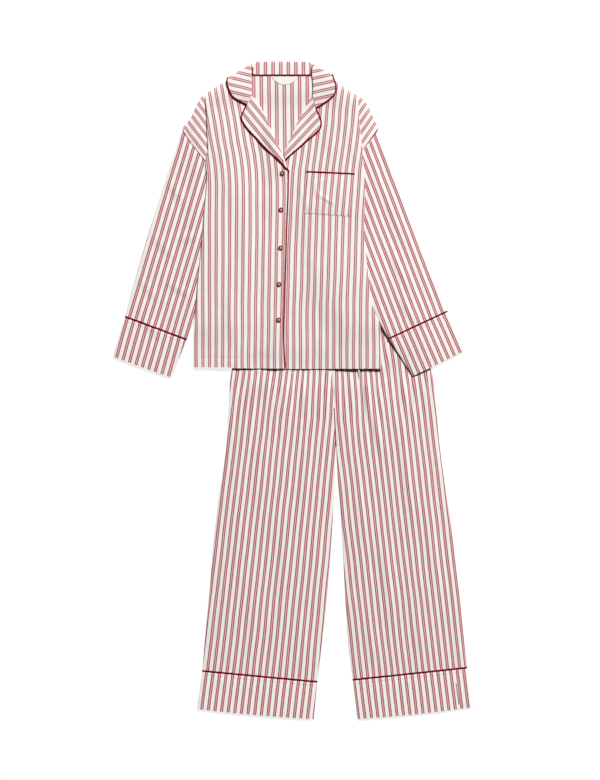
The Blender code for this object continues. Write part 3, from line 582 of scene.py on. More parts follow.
def across_share(x, outer, inner):
    """0 at the folds of a flattened tube and 1 over most of its middle."""
    share = ramp((x - inner) / (outer - inner))
    return 1.0 - (2 * share - 1) ** 4


def armhole_gap(side, x, y):
    """Distance from the armhole seam, where the cloth is pulled down."""
    head = ARMHOLE[side]
    here = Vector((x, y))
    gap = 1e9
    for start, end in zip(head, head[1:]):
        along = end - start
        share = ramp((here - start).dot(along) / along.length_squared)
        gap = min(gap, (here - start - along * share).length)
    return gap


def sleeve_low(side):
    return lambda x, y: sleeve_base(side, x, y) + BACK


def sleeve_high(side):
    """The upper layer of the sleeve, a little crowned where nothing lies on it."""
    def height(x, y):
        free = ease(-inside(side, x, y) / 25)
        crown = 1.6 * across_share(x, SLEEVE_OUTER[side](y), SLEEVE_INNER[side](y))
        seam = armhole_gap(side, x, y)
        crown = mix(crown, 1.2, math.exp(-(seam / 7) ** 2))
        crown += PUCKERS[side](x, y) + stitched(seam, 1.8, 0.5)
        soft = 1.6 * SLEEVE_CREASES[side](x, y) + waver(x, y, 7.0 + side)
        soft += waver(x, y, 9.0 + side, 22.0, 0.3)
        pressed = 1.3 * math.exp(-(inside(side, x, y) / 3.6) ** 2)
        loose = crown * free * (1 + 0.5 * soft) + 0.1 * soft
        return sleeve_base(side, x, y) + BACK + HOLLOW + loose - pressed
    return height


print("the right sleeve's middle stands %.1f mm high" % sleeve_high(-1)(-300, 350))

# %% Heights of the legs
UNCOVERED_FROM, UNCOVERED_RAMP = 48.0, 45.0
PRESS_MOST, PRESS_MEAN, PLEAT_SHARE, PRESS_REACH = 1.4, 0.5, 3.0, 14.0


def gather(x, y):
    """Puckers that the elastic waist sends down the trousers, fading out below the hips."""
    fade = ease((y + 230) / 260)
    return fade * noise.noise(Vector((x / 13.0, y / 170.0, 21.0))) if fade > 0 else 0.0


def leg_low(x, y):
    """The lower layer of a leg lies on the floor."""
    return CLOTH / 2


def leg_high(side):
    """The upper layer of a leg: pressed under the jacket, crowned and gathered below it."""
    def height(x, y):
        free = ease((UNCOVERED_FROM - y) / UNCOVERED_RAMP)
        outer = LEG_OUTER[side](y)
        inner = LEG_INNER[side](y)
        seamed = ease((y + 90) / 60)
        crown = 1.8 * mix(across_share(x, outer, inner), across_share(x, outer, 2 * inner - outer), seamed)
        soft = 1.3 * LEG_CREASES[side](x, y) + waver(x, y, 11.0 + side, 90.0, 0.8)
        soft += waver(x, y, 13.0 + side, 24.0, 0.25) + 2.2 * gather(x, y)
        edge = ease(abs(x - outer) / 12)
        side_seam = stitched(abs(x - outer) - SIDE_SEAM_IN, 2.5, 0.6)
        centre_seam = stitched((x - inner) * seamed + 40 * (1 - seamed), 2.4, 1.7)
        pleats = noise.noise(Vector((x / 7.0, y / 90.0, 43.0)))
        pressed = min(PRESS_MOST, PRESS_MEAN - PLEAT_SHARE * pleats)
        pressed = pressed * math.exp(-((y - HEM_Y) / PRESS_REACH) ** 2) * edge
        return CLOTH / 2 + HOLLOW - pressed + free * (crown + soft * edge + side_seam + centre_seam)
    return height


print("the left leg's middle stands %.1f mm high" % leg_high(1)(280, -300))

# %% [markdown]
# ## Where the stripes run
#
# The cloth is yarn-dyed: the stripes are threads, so they follow the grain of each cut piece and
# stop at its seams. Each piece therefore gets a UV map in metres of cloth, u across the stripes
# and v along them, and one material can serve them all. A small table holds each piece's grain:
# the direction across its stripes, the distance from stripe to stripe and where one lies.
# Fronts and legs aren't quite flat patterns, so theirs lean a little from top to bottom.

# %% Grain of every piece
REPEAT = 16.5
Grain = namedtuple("Grain", "angle repeat start")
GRAINS = {
    "jacket_back": Grain(0.5, 19.2, 6.0), "stand": Grain(0.0, 19.0, 9.0),
    "wing_right": Grain(76.0, 17.1, 2.7), "wing_left": Grain(102.0, 16.9, 7.0),
    "lapel_right": Grain(39.0, 17.1, 14.7), "lapel_left": Grain(-43.5, 16.2, 2.3),
    "drop_right": Grain(37.0, 15.5, 11.0), "drop_left": Grain(-34.5, 15.5, 9.5),
    "sleeve_right": Grain(-16.5, 16.6, 6.5), "sleeve_left": Grain(21.0, 16.1, 1.4),
    "cuff_right": Grain(-15.6, 17.2, 2.1), "cuff_left": Grain(23.5, 16.4, 12.7),
    "pocket": Grain(-5.0, 16.4, 5.1), "waistband": Grain(0.0, 15.6, 4.0),
    "hem_band_right": Grain(-7.0, 16.5, 4.9), "hem_band_left": Grain(7.0, 16.2, 15.9),
}
LEAN_Y = [57, 214, 289, 364, 439, 514, 551, 589, 626, 664, 701, 740, 800]
LEAN = {-1: [0, 0, 0, 0, 0, 0, -2, -7, -14, -20, -27, -34, -45],
        1: [0, 0, 3, 5, 8, 13, 15, 20, 25, 30, 33, 38, 45]}


def sway(x, y, seed, amount=0.9):
    """Laid cloth is never quite straight: its stripes wander by a millimetre."""
    return amount * noise.noise(Vector((x / 60.0, y / 95.0, seed)))


def pinch(x, y):
    """Cloth taken up by the small folds at the right armhole."""
    near = math.exp(-((x + 262) ** 2 + (y - 652) ** 2) / 17.0 ** 2)
    return 7.0 * near * noise.noise(Vector((x / 8.0, y / 8.0, 41.0)))


def planar(name):
    """Cloth coordinates of a piece whose stripes are straight."""
    grain = GRAINS[name]
    cos, sin = math.cos(math.radians(grain.angle)), math.sin(math.radians(grain.angle))

    def cloth_at(x, y):
        wander = sway(x, y, 31.0) + pinch(x, y)
        across = (x * cos + y * sin - grain.start + wander) / grain.repeat
        return across * REPEAT, y * cos - x * sin

    return cloth_at


print(len(GRAINS), "straight-grained pieces, stripes", REPEAT, "mm apart")

# %% Grain that leans
def front_grain(side):
    """The fronts' stripes lean in towards the hem from the shoulders."""
    def cloth_at(x, y):
        lean = float(np.interp(y, LEAN_Y, LEAN[side])) + sway(x, y, 33.0 + side, 1.3)
        if side < 0:
            near_edge = ramp((x + 206) / 188) * ramp((439 - y) / 340)
            across = (x - lean + 8 * near_edge + 3.5) / 16.9
        else:
            across = (x - lean - 4.0) / 16.6
        return across * REPEAT, y
    return cloth_at


def leg_grain(side):
    """The legs' stripes fan out to the hems, and stand nearly upright at the centre seam."""
    def cloth_at(x, y):
        down = y + 74
        if side < 0 and down < 0:
            across = (x - 0.1056 * down) / (1 - 9.7e-5 * down) + 13
        elif side < 0:
            across = x - down * mix(0.125, 0.045, ease((x + 20) / 80)) + 13
        elif down < 0:
            across = (x + 0.115 * down) - 177
        else:
            across = x + down * mix(0.045, 0.13, ease((x - 150) / 80)) - 177
        across += sway(x, y, 37.0 + side, 1.2) + 3.0 * gather(x + 7, y)
        return across / 15.5 * REPEAT, y
    return cloth_at


print("at its hem the right front starts %.0f mm across its cloth" % front_grain(-1)(-20, 57)[0])

# %% [markdown]
# ## Yarn-dyed stripes as a shader group
#
# A stripe that is printed sits on the cloth; a yarn-dyed one is the cloth. Two dark rose lines
# with a paler rose between them repeat across a cream ground. The group measures how far a point
# lies from the middle of its stripe and puts out one mask for the lines and one for the pale
# middle. It is built once, with named inputs, and every cotton material places it with its own
# values. A second group gives the plain weave: threads that go over and under each other.

# %% Shader groups
def new_group(name, inputs, outputs):
    """An empty shader group with named sockets; returns its tree, input node and output node."""
    tree = bpy.data.node_groups.new(name, "ShaderNodeTree")
    for socket, kind, value in inputs:
        made = tree.interface.new_socket(socket, in_out="INPUT", socket_type=kind)
        if value is not None:
            made.default_value = value
    for socket, kind in outputs:
        tree.interface.new_socket(socket, in_out="OUTPUT", socket_type=kind)
    return tree, tree.nodes.new("NodeGroupInput"), tree.nodes.new("NodeGroupOutput")


def connect(tree, value, socket):
    """Puts a number on a socket or links another socket to it."""
    if isinstance(value, bpy.types.NodeSocket):
        tree.links.new(value, socket)
    else:
        socket.default_value = value


def maths(tree, operation, *values):
    """One Math node with its values or links; returns its output."""
    node = tree.nodes.new("ShaderNodeMath")
    node.operation = operation
    for value, socket in zip(values, node.inputs):
        connect(tree, value, socket)
    return node.outputs[0]


def soft_step(tree, value, low, high):
    """1 below low, 0 above high and smooth between."""
    node = tree.nodes.new("ShaderNodeMapRange")
    node.interpolation_type = "SMOOTHSTEP"
    for number, entry in enumerate((value, low, high, 1.0, 0.0)):
        connect(tree, entry, node.inputs[number])
    return node.outputs[0]


FLOAT, VECTOR = "NodeSocketFloat", "NodeSocketVector"
print("a group's sockets are", FLOAT, "or", VECTOR)

# %% The yarn stripes
FINE_LINE_AT, FINE_LINE_EDGE = 0.0066, (0.0003, 0.0009)


def make_stripe_group():
    tree, given, result = new_group("yarn_stripe", [
        ("Cloth", VECTOR, None), ("Repeat", FLOAT, 0.0165), ("Line Offset", FLOAT, 0.0026),
        ("Line Width", FLOAT, 0.0025), ("Softness", FLOAT, 0.0004),
    ], [("Lines", FLOAT), ("Middle", FLOAT), ("Ground Line", FLOAT)])
    split = tree.nodes.new("ShaderNodeSeparateXYZ")
    tree.links.new(given.outputs["Cloth"], split.inputs[0])
    share = maths(tree, "DIVIDE", split.outputs["X"], given.outputs["Repeat"])
    nearest = maths(tree, "ROUND", share)
    away = maths(tree, "ABSOLUTE", maths(tree, "SUBTRACT", share, nearest))
    distance = maths(tree, "MULTIPLY", away, given.outputs["Repeat"])
    offset, soft = given.outputs["Line Offset"], given.outputs["Softness"]
    from_line = maths(tree, "ABSOLUTE", maths(tree, "SUBTRACT", distance, offset))
    half = maths(tree, "MULTIPLY", given.outputs["Line Width"], 0.5)
    lines = soft_step(tree, from_line, maths(tree, "SUBTRACT", half, soft), maths(tree, "ADD", half, soft))
    middle = soft_step(tree, distance, offset, maths(tree, "ADD", offset, soft))
    ground_at = maths(tree, "ABSOLUTE", maths(tree, "SUBTRACT", distance, FINE_LINE_AT))
    ground_line = soft_step(tree, ground_at, *FINE_LINE_EDGE)
    for name, value in (("Lines", lines), ("Middle", middle), ("Ground Line", ground_line)):
        tree.links.new(value, result.inputs[name])
    return tree


YARN_STRIPE = make_stripe_group()
print("group:", YARN_STRIPE.name)

# %% The weave
def make_weave_group():
    tree, given, result = new_group("plain_weave", [
        ("Cloth", VECTOR, None), ("Thread", FLOAT, 0.0005),
    ], [("Height", FLOAT), ("Slub", FLOAT)])
    split = tree.nodes.new("ShaderNodeSeparateXYZ")
    tree.links.new(given.outputs["Cloth"], split.inputs[0])
    turns = maths(tree, "DIVIDE", math.pi, given.outputs["Thread"])
    warp = maths(tree, "SINE", maths(tree, "MULTIPLY", split.outputs["X"], turns))
    weft = maths(tree, "SINE", maths(tree, "MULTIPLY", split.outputs["Y"], turns))
    over = maths(tree, "MULTIPLY", warp, weft)
    height = maths(tree, "MULTIPLY_ADD", over, 0.5, 0.5)
    stretch = tree.nodes.new("ShaderNodeMapping")
    stretch.inputs["Scale"].default_value = (1.0, 0.05, 1.0)
    tree.links.new(given.outputs["Cloth"], stretch.inputs["Vector"])
    slub = tree.nodes.new("ShaderNodeTexNoise")
    slub.inputs["Scale"].default_value = 900.0
    slub.inputs["Detail"].default_value = 2.0
    tree.links.new(stretch.outputs[0], slub.inputs["Vector"])
    tree.links.new(height, result.inputs["Height"])
    tree.links.new(slub.outputs[0], result.inputs["Slub"])
    return tree


PLAIN_WEAVE = make_weave_group()
print("group:", PLAIN_WEAVE.name)

# %% [markdown]
# ## The cotton
#
# Brushed cotton is matt, with the least sheen at grazing angles. Its colour comes from the stripe
# group, broken up by uneven threads, and its bump from the weave. The hem bands are doubled, so
# less shows through them and their ground is whiter. The material itself holds the Principled
# shader, with its plain numbers set straight on the sockets.

# %% Colours and material helpers
CREAM = (0.935, 0.93, 0.87)
ROSE = (0.40, 0.035, 0.075)
PALE_ROSE = (0.78, 0.47, 0.48)
FINE_LINE_SHARE = 0.10


def start_material(name, roughness, sheen=0.0):
    """A new material with its Principled shader's plain numbers set."""
    made = bpy.data.materials.new(name)
    made.use_nodes = True
    shader = made.node_tree.nodes["Principled BSDF"]
    shader.inputs["Roughness"].default_value = roughness
    shader.inputs["Sheen Weight"].default_value = sheen
    shader.inputs["Sheen Roughness"].default_value = 0.5
    shader.inputs["Specular IOR Level"].default_value = 0.2
    return made, made.node_tree, shader


def blend_colours(tree, share, first, second):
    """A Mix node between two colours or links; returns its output."""
    node = tree.nodes.new("ShaderNodeMix")
    node.data_type = "RGBA"
    for value, socket in ((share, "Factor"), (first, "A"), (second, "B")):
        if isinstance(value, tuple):
            value = (*value, 1.0)
        connect(tree, value, node.inputs[socket])
    return node.outputs["Result"]


def place_group(tree, group, **values):
    """The group as a node, with values or links for its inputs (an underscore is a space)."""
    node = tree.nodes.new("ShaderNodeGroup")
    node.node_tree = group
    for name, value in values.items():
        connect(tree, value, node.inputs[name.replace("_", " ")])
    return node


def bump(tree, shader, height, distance, strength=1.0):
    """A Bump node from a height to the shader's Normal."""
    node = tree.nodes.new("ShaderNodeBump")
    node.inputs["Distance"].default_value = distance
    node.inputs["Strength"].default_value = strength
    tree.links.new(height, node.inputs["Height"])
    tree.links.new(node.outputs[0], shader.inputs["Normal"])


print("cream ground", CREAM, "and rose lines", ROSE)

# %% Cotton, piping and plain finishes
def cotton(name, depth, cream=CREAM):
    """Striped cotton; depth is how strongly the rose yarns show."""
    made, tree, shader = start_material(name, 0.9, sheen=0.12)
    cloth_map = tree.nodes.new("ShaderNodeUVMap")
    cloth_map.uv_map = "cloth"
    stripe = place_group(tree, YARN_STRIPE, Cloth=cloth_map.outputs[0])
    weave = place_group(tree, PLAIN_WEAVE, Cloth=cloth_map.outputs[0])
    fine_share = maths(tree, "MULTIPLY", stripe.outputs["Ground Line"], FINE_LINE_SHARE)
    ground = blend_colours(tree, fine_share, cream, PALE_ROSE)
    middle_share = maths(tree, "MULTIPLY", stripe.outputs["Middle"], depth)
    middle = blend_colours(tree, middle_share, ground, PALE_ROSE)
    uneven = maths(tree, "MULTIPLY_ADD", weave.outputs["Slub"], 0.5, 0.72)
    rose_share = maths(tree, "MULTIPLY", stripe.outputs["Lines"], maths(tree, "MULTIPLY", uneven, depth))
    rose = blend_colours(tree, rose_share, middle, ROSE)
    tree.links.new(rose, shader.inputs["Base Color"])
    bump(tree, shader, weave.outputs["Height"], 0.00006, 0.6)
    return made


def piping_material():
    """Dark red bias tape: diagonal ribs round the cord, in a darker and a lighter red."""
    made, tree, shader = start_material("dark_red_bias", 0.8)
    cloth_map = tree.nodes.new("ShaderNodeUVMap")
    cloth_map.uv_map = "cloth"
    wave = tree.nodes.new("ShaderNodeTexWave")
    wave.bands_direction = "DIAGONAL"
    wave.inputs["Scale"].default_value = 420.0
    wave.inputs["Distortion"].default_value = 0.6
    tree.links.new(cloth_map.outputs[0], wave.inputs["Vector"])
    shader.inputs["Specular IOR Level"].default_value = 0.03
    colour = blend_colours(tree, wave.outputs["Fac"], (0.17, 0.0, 0.002), (0.30, 0.0, 0.006))
    tree.links.new(colour, shader.inputs["Base Color"])
    bump(tree, shader, wave.outputs["Fac"], 0.0001, 0.5)
    return made


def speckled(name, first, second, scale, roughness, distance, sheen=0.0):
    """A plain finish broken up by a fine noise in the piece's own space."""
    made, tree, shader = start_material(name, roughness, sheen)
    place = tree.nodes.new("ShaderNodeTexCoord")
    noisy = tree.nodes.new("ShaderNodeTexNoise")
    noisy.inputs["Scale"].default_value = scale
    noisy.inputs["Detail"].default_value = 3.0
    tree.links.new(place.outputs["Object"], noisy.inputs["Vector"])
    tree.links.new(blend_colours(tree, noisy.outputs[0], first, second), shader.inputs["Base Color"])
    bump(tree, shader, noisy.outputs[0], distance, 0.5)
    return made


print("cottons take their stripes from", YARN_STRIPE.name, "and their bump from", PLAIN_WEAVE.name)

# %% The finishes
JACKET_COTTON = cotton("rose_stripe_jacket", 0.86)
SLEEVE_COTTON = cotton("rose_stripe_sleeve", 1.0)
TROUSER_COTTON = cotton("rose_stripe_trousers", 1.0)
BAND_COTTON = cotton("rose_stripe_doubled_hem", 1.0, (0.995, 0.99, 0.93))
PIPING = piping_material()
LABEL = speckled("bare_cream_label", (0.95, 0.94, 0.88), (0.88, 0.865, 0.80), 1800.0, 0.6, 0.0001, 0.1)
THREAD = speckled("cream_thread", (0.85, 0.80, 0.72), (0.70, 0.62, 0.52), 2500.0, 0.7, 0.00005, 0.2)
# Rose thread, dark enough that on the pocket it also paints the shadow in the stitched seams.
ROSE_THREAD_AND_SEAM_SHADE = speckled("rose_thread", (0.38, 0.06, 0.09), (0.28, 0.03, 0.05), 2500.0, 0.8, 0.00005)
# Dark red thread, sewn wide on the armholes and the rise, also paints the shade in those seams.
SEAM_THREAD_AND_SHADE = speckled("dark_red_thread", (0.34, 0.006, 0.03), (0.22, 0.002, 0.015), 2500.0, 0.8, 0.00005)
# Grey thread round the label, which also paints the shadow along the label's edge.
GREY_THREAD_AND_EDGE_SHADE = speckled("grey_thread", (0.36, 0.33, 0.30), (0.24, 0.21, 0.19), 2500.0, 0.8, 0.00005)
BUTTON = speckled("brown_button_rim", (0.08, 0.006, 0.001), (0.27, 0.075, 0.003), 420.0, 0.6, 0.00005)
DISH = speckled("pale_button_dish", (0.62, 0.48, 0.32), (0.76, 0.64, 0.48), 500.0, 0.5, 0.00005)
for finish in (BUTTON, DISH):
    finish.node_tree.nodes["Principled BSDF"].inputs["Specular IOR Level"].default_value = 0.08
print(len(bpy.data.materials), "materials")

# %% [markdown]
# ## From rows of points to a shell
#
# A cut piece is written as rows: each row runs across the piece and round its folds. Neighbouring
# rows are joined by four-sided faces, which is what a loft does. Solidify would be enough for the
# wall, but the shading at its rim needs hard edges, so the wall is made plain mesh at once and
# edges sharper than forty degrees are marked. Opening the folds out on paper gives the cloth
# coordinates, so that stripes run on round a fold just as they do in the hand.

# %% Rows, folds and shells
THIN = 0.5
SHARP = math.radians(40)


def run(start, end, height, pieces):
    """Points in plan from start to end, at the height of their layer."""
    points = []
    for i in range(pieces + 1):
        at = start.lerp(end, i / pieces)
        points.append(Vector((at.x, at.y, height(at.x, at.y))))
    return points


def turn(edge, outward, first, second, pieces, share=1.0):
    """Inner points of the half round between two layers; share 0.5 stops half way."""
    reach = abs(first - second) / 2
    points = []
    for i in range(1, pieces + (share < 1.0)):
        angle = math.pi * share * i / pieces
        at = edge + outward * reach * (math.sin(angle) - 1)
        points.append(Vector((at.x, at.y, mix(first, second, (1 - math.cos(angle)) / 2))))
    return points


def opened(row, first, last):
    """Where a row's points lie once the folds beyond first and last are opened out flat."""
    outward = (flat(row[last]) - flat(row[first])).normalized()
    places_on_cloth = [flat(point) for point in row]
    for i in range(last + 1, len(row)):
        places_on_cloth[i] = places_on_cloth[i - 1] + outward * (row[i] - row[i - 1]).length
    for i in range(first - 1, -1, -1):
        places_on_cloth[i] = places_on_cloth[i + 1] - outward * (row[i + 1] - row[i]).length
    return places_on_cloth


half_round = turn(Vector((0, 0)), Vector((1, 0)), 4.0, 0.0, 6)
print("a fold between two layers has", len(half_round), "points")

# %% From rows to a thin wall
def settle(thing, sharp=SHARP):
    """Makes the modifiers' result the object's plain mesh, smooth but for its sharp edges."""
    graph = bpy.context.evaluated_depsgraph_get()
    mesh = bpy.data.meshes.new_from_object(thing.evaluated_get(graph))
    mesh.name = thing.name
    thing.modifiers.clear()
    thing.data = mesh
    mesh.shade_smooth()
    mesh.set_sharp_from_angle(angle=sharp)
    return thing


def measure(name, mesh, coordinates):
    """Prints how wide, how long and how large a piece is once it is opened out flat."""
    uv = np.array(coordinates).reshape(-1, 2)
    size = uv.max(0) - uv.min(0)
    area = sum(face.area for face in mesh.polygons)
    print("%-20s cut %.3f x %.3f m, %.4f square metres" % (name, size[0], size[1], area))


def shell(name, rows, cloth, finish, thick=THIN, keep=None):
    """A thin walled sheet through the rows; cloth(cell row, cell column, row, column) is its place
    on the flat cloth, and keep(cell row, cell column) says which cells are cut."""
    cells = [(j, i) for j in range(len(rows) - 1) for i in range(len(rows[0]) - 1)
             if keep is None or keep(j, i)]
    corners = sorted({(j + dj, i + di) for j, i in cells for dj in (0, 1) for di in (0, 1)})
    index = {corner: k for k, corner in enumerate(corners)}
    faces, coordinates = [], []
    for j, i in cells:
        around = [(j, i), (j, i + 1), (j + 1, i + 1), (j + 1, i)]
        faces.append([index[corner] for corner in around])
        for corner in around:
            u, v = cloth(j, i, *corner)
            coordinates += [u * MM, v * MM]
    mesh = bpy.data.meshes.new(name)
    mesh.from_pydata([rows[j][i] * MM for j, i in corners], [], faces)
    mesh.uv_layers.new(name="cloth").data.foreach_set("uv", coordinates)
    mesh.materials.append(finish)
    measure(name, mesh, coordinates)
    thing = put_in_scene(name + "_cloth", mesh)
    wall = thing.modifiers.new("wall", "SOLIDIFY")
    wall.thickness = thick * MM
    wall.offset = 0.0
    return settle(thing)


print("a piece's edges stay sharp above %.0f degrees" % math.degrees(SHARP))

# %% Cords
def tube(name, points, finish, radius=PIPE, sides=10):
    """A cord through the points, pressed a little flat, its ends closed."""
    rings, coordinates, travelled = [], [], 0.0
    for k, point in enumerate(points):
        ahead = (points[min(k + 1, len(points) - 1)] - points[max(k - 1, 0)]).normalized()
        across = ahead.cross(Vector((0, 0, 1)))
        across = across.normalized() if across.length > 1e-3 else Vector((1, 0, 0))
        up = across.cross(ahead)
        travelled += (point - points[k - 1]).length if k else 0.0
        angles = [2 * math.pi * i / sides for i in range(sides)]
        rings.append([point + (across * math.cos(a) + up * PRESSED * math.sin(a)) * radius for a in angles])
        coordinates.append(travelled)
    build = bmesh.new()
    layer = build.loops.layers.uv.new("cloth")
    circles = [[build.verts.new(corner * MM) for corner in ring] for ring in rings]
    for k in range(len(circles) - 1):
        for i in range(sides):
            after = (i + 1) % sides
            near, far = circles[k], circles[k + 1]
            face = build.faces.new((near[i], near[after], far[after], far[i]))
            around = ((i, k), (i + 1, k), (i + 1, k + 1), (i, k + 1))
            for loop, (turned, along) in zip(face.loops, around):
                loop[layer].uv = (turned * 2 * math.pi * radius / sides * MM, coordinates[along] * MM)
    build.faces.new(circles[0][::-1])
    build.faces.new(circles[-1])
    bmesh.ops.recalc_face_normals(build, faces=build.faces)
    mesh = bpy.data.meshes.new(name)
    build.to_mesh(mesh)
    build.free()
    mesh.materials.append(finish)
    thing = put_in_scene(name + "_cord", mesh)
    mesh.shade_smooth()
    mesh.set_sharp_from_angle(angle=math.radians(60))
    return thing


def smooth_line(points, step=4.0):
    """A denser line through the points of a list."""
    return [through(points, t) for t in places(points, step)]


print("the piping is %.1f mm wide and %.1f mm high" % (2 * PIPE, 2 * PIPE * PRESSED))


# %% [markdown]
# ## Declaring a piece
#
# Every finished piece rides on the set's one body and stands for the imported solid of the same
# name, which is hidden. A cloth piece also prints the size it was cut to and its area: cloth
# doesn't stretch by being laid down.

# %% Declaring
made_pieces = {}


def declare(piece):
    """Joins a finished piece to the body, hides its solid and counts its faces."""
    node = piece.name.rsplit("_", 1)[0]
    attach(piece, "root")
    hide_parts(node)
    made_pieces[node] = len(piece.data.polygons)
    return piece


print("pieces declared so far:", len(made_pieces))


# %% [markdown]
# ## The fronts
#
# A front is one piece of cloth from its buttoned edge to the side seam, and the dropped shoulder
# is part of it. Laid flat, its side is folded under and the shoulder comes out again below, so a
# row goes out over the front, round the fold, back in, round again and out over the shoulder.

# %% The fronts
MAIN, FOLD, TURNED, DEEP, DROPPED = 34, 6, 9, 5, 10
TO_DEEP = MAIN + FOLD + TURNED
ROLL_IN = 2.2
SEAM_BULGE, SEAM_BULGE_REACH = 0.2, 6.0


def table_reader(table):
    """A function that gives all of a front's columns at row t, and the fold line."""
    columns = [column(table, name) for name in Front._fields[1:]]

    def read(t):
        inner, fold, tuck, drop, loft = (through(values, t) for values in columns)
        return inner, fold, max(tuck, 0.8), drop, min(1.0, loft)

    return read, columns[1]


def make_front(side):
    """Over the chest, round the folded side, back under it and out again as the shoulder."""
    read, fold_line = table_reader(FRONTS[side])
    levels = places(fold_line, 7.0)
    drop_top = sleeve_high(side)
    rows, main_cloth = [], []
    for t in levels:
        inner, fold, tuck, drop, loft = read(t)
        outward = (fold - inner).normalized()
        rolled = ease((t - GORGE) * 4) * ease((LAPEL_LOW + 1 - t) * 2)
        inner = inner + outward * ROLL_IN * rolled
        deep = fold - outward * tuck

        def seam_height(x, y):
            return ground(x, y) + BACK + SEAM_ABOVE_BACK

        def height(x, y, under=0.0):
            return mix(seam_height(x, y), front_height(side, x, y) - under, loft)

        def turned(x, y):
            return height(x, y, PITCH)

        def dropped(x, y):
            return mix(seam_height(x, y), drop_top(x, y), loft)

        reach = PITCH / 2 * loft
        row = run(inner, fold - outward * reach, height, MAIN)
        row += turn(fold, outward, height(*fold), turned(*fold), FOLD)
        hanging = t >= ARMPIT
        back_turn = ground(*deep) + BACK_TURN
        gap = turned(*deep) - (back_turn if hanging else dropped(*deep))
        inner_reach = (gap if hanging else abs(gap)) / 2
        tuck_end = deep + outward * inner_reach
        row += run(fold - outward * reach, tuck_end, turned, TURNED)
        if hanging:
            row += turn(deep, -outward, turned(*deep), back_turn + 0.6, DEEP, 0.5)
            row += [row[-1]] * DROPPED
        else:
            row += turn(deep, -outward, turned(*deep), dropped(*deep), DEEP)
            shoulder = run(tuck_end, drop, dropped, DROPPED)
            on_seam = ease(LAPEL_TOP + 0.5 - t)
            for point in shoulder:
                near = math.exp(-((flat(point) - drop).length / SEAM_BULGE_REACH) ** 2)
                to_seam = sleeve_base(side, *drop) + BACK + SEAM_ABOVE_BACK
                point.z = mix(point.z, mix(point.z + SEAM_BULGE, to_seam, on_seam), near * loft)
            row += shoulder
        main_cloth.append([front_grain(side)(*place) for place in opened(row, 0, MAIN)])
        low = ease((t - len(FRONTS[side]) + 2) * 1.5)
        for point in row:
            ragged = 0.9 * noise.noise(Vector((point.x / 22, 2.0, side)))
            point.y -= low * (2.4 * ease((point.x + 165) / 30) + ragged)
        rows.append(row)
    drop_cloth = planar("drop_" + SIDES[side])

    def cloth(cell_row, cell_column, j, i):
        if cell_column >= TO_DEEP + DEEP // 2 and levels[cell_row] < ARMPIT:
            return drop_cloth(rows[j][i].x, rows[j][i].y)
        return main_cloth[j][i]

    def keep(j, i):
        if levels[j] >= ARMPIT:
            return i < TO_DEEP + DEEP
        return i < TO_DEEP or levels[j + 1] < ARMPIT

    return shell("jacket_front_" + SIDES[side], rows, cloth, JACKET_COTTON, keep=keep)


for side in SIDES:
    piece = make_front(side)
    declare(piece)
    print(piece.name, len(piece.data.polygons), "faces")

# %% [markdown]
# ## The back
#
# The back lies lowest. Both its sides turn inwards and their dropped shoulders come out again, so
# one row is the right half, the middle and the left half in one go. Its top edge dips at the neck.

# %% The back
BACK_MAIN = 56
HALF = FOLD - 1 + TURNED + 1 + DEEP + DROPPED


def back_top_bend(across):
    """How far the back's top edge stands above the straight line between its two folds."""
    at = through_line([flat(point) for point in BACK_TOP], across)
    return at - flat(BACK_TOP[0]).lerp(flat(BACK_TOP[-1]), across)


def through_line(points, share):
    """A point on a line of straight stretches of equal share."""
    k = min(int(share * (len(points) - 1)), len(points) - 2)
    return points[k].lerp(points[k + 1], share * (len(points) - 1) - k)


def back_half(side, read, t, hanging):
    """One side of a row, from its fold inwards and out again, and where the middle starts."""
    inner, fold, tuck, drop, loft = read(t)
    outward = (fold - inner).normalized()
    deep = fold - outward * tuck
    fold = fold - outward * 2.0 * loft

    def turned(x, y):
        return ground(x, y) + mix(BACK, BACK_TURN, loft)

    def dropped(x, y):
        return mix(ground(x, y) + BACK, sleeve_base(side, x, y) + BACK, loft)

    reach = PITCH / 2 * loft
    front_turn = front_height(side, *deep) - PITCH
    inner_reach = (front_turn - turned(*deep)) / 2 if hanging else reach
    tuck_end = deep + outward * inner_reach
    half = turn(fold, outward, back_height(*fold), turned(*fold), FOLD)
    half += run(fold - outward * reach, tuck_end, turned, TURNED)
    if hanging:
        half += turn(deep, -outward, turned(*deep), front_turn - 0.6, DEEP, 0.5)
        half += [half[-1]] * DROPPED
    else:
        half += turn(deep, -outward, turned(*deep), dropped(*deep), DEEP)
        half += run(tuck_end, drop, dropped, DROPPED)
    return half, fold - outward * reach


print("each side of the back turns over", FOLD, "points at its fold")

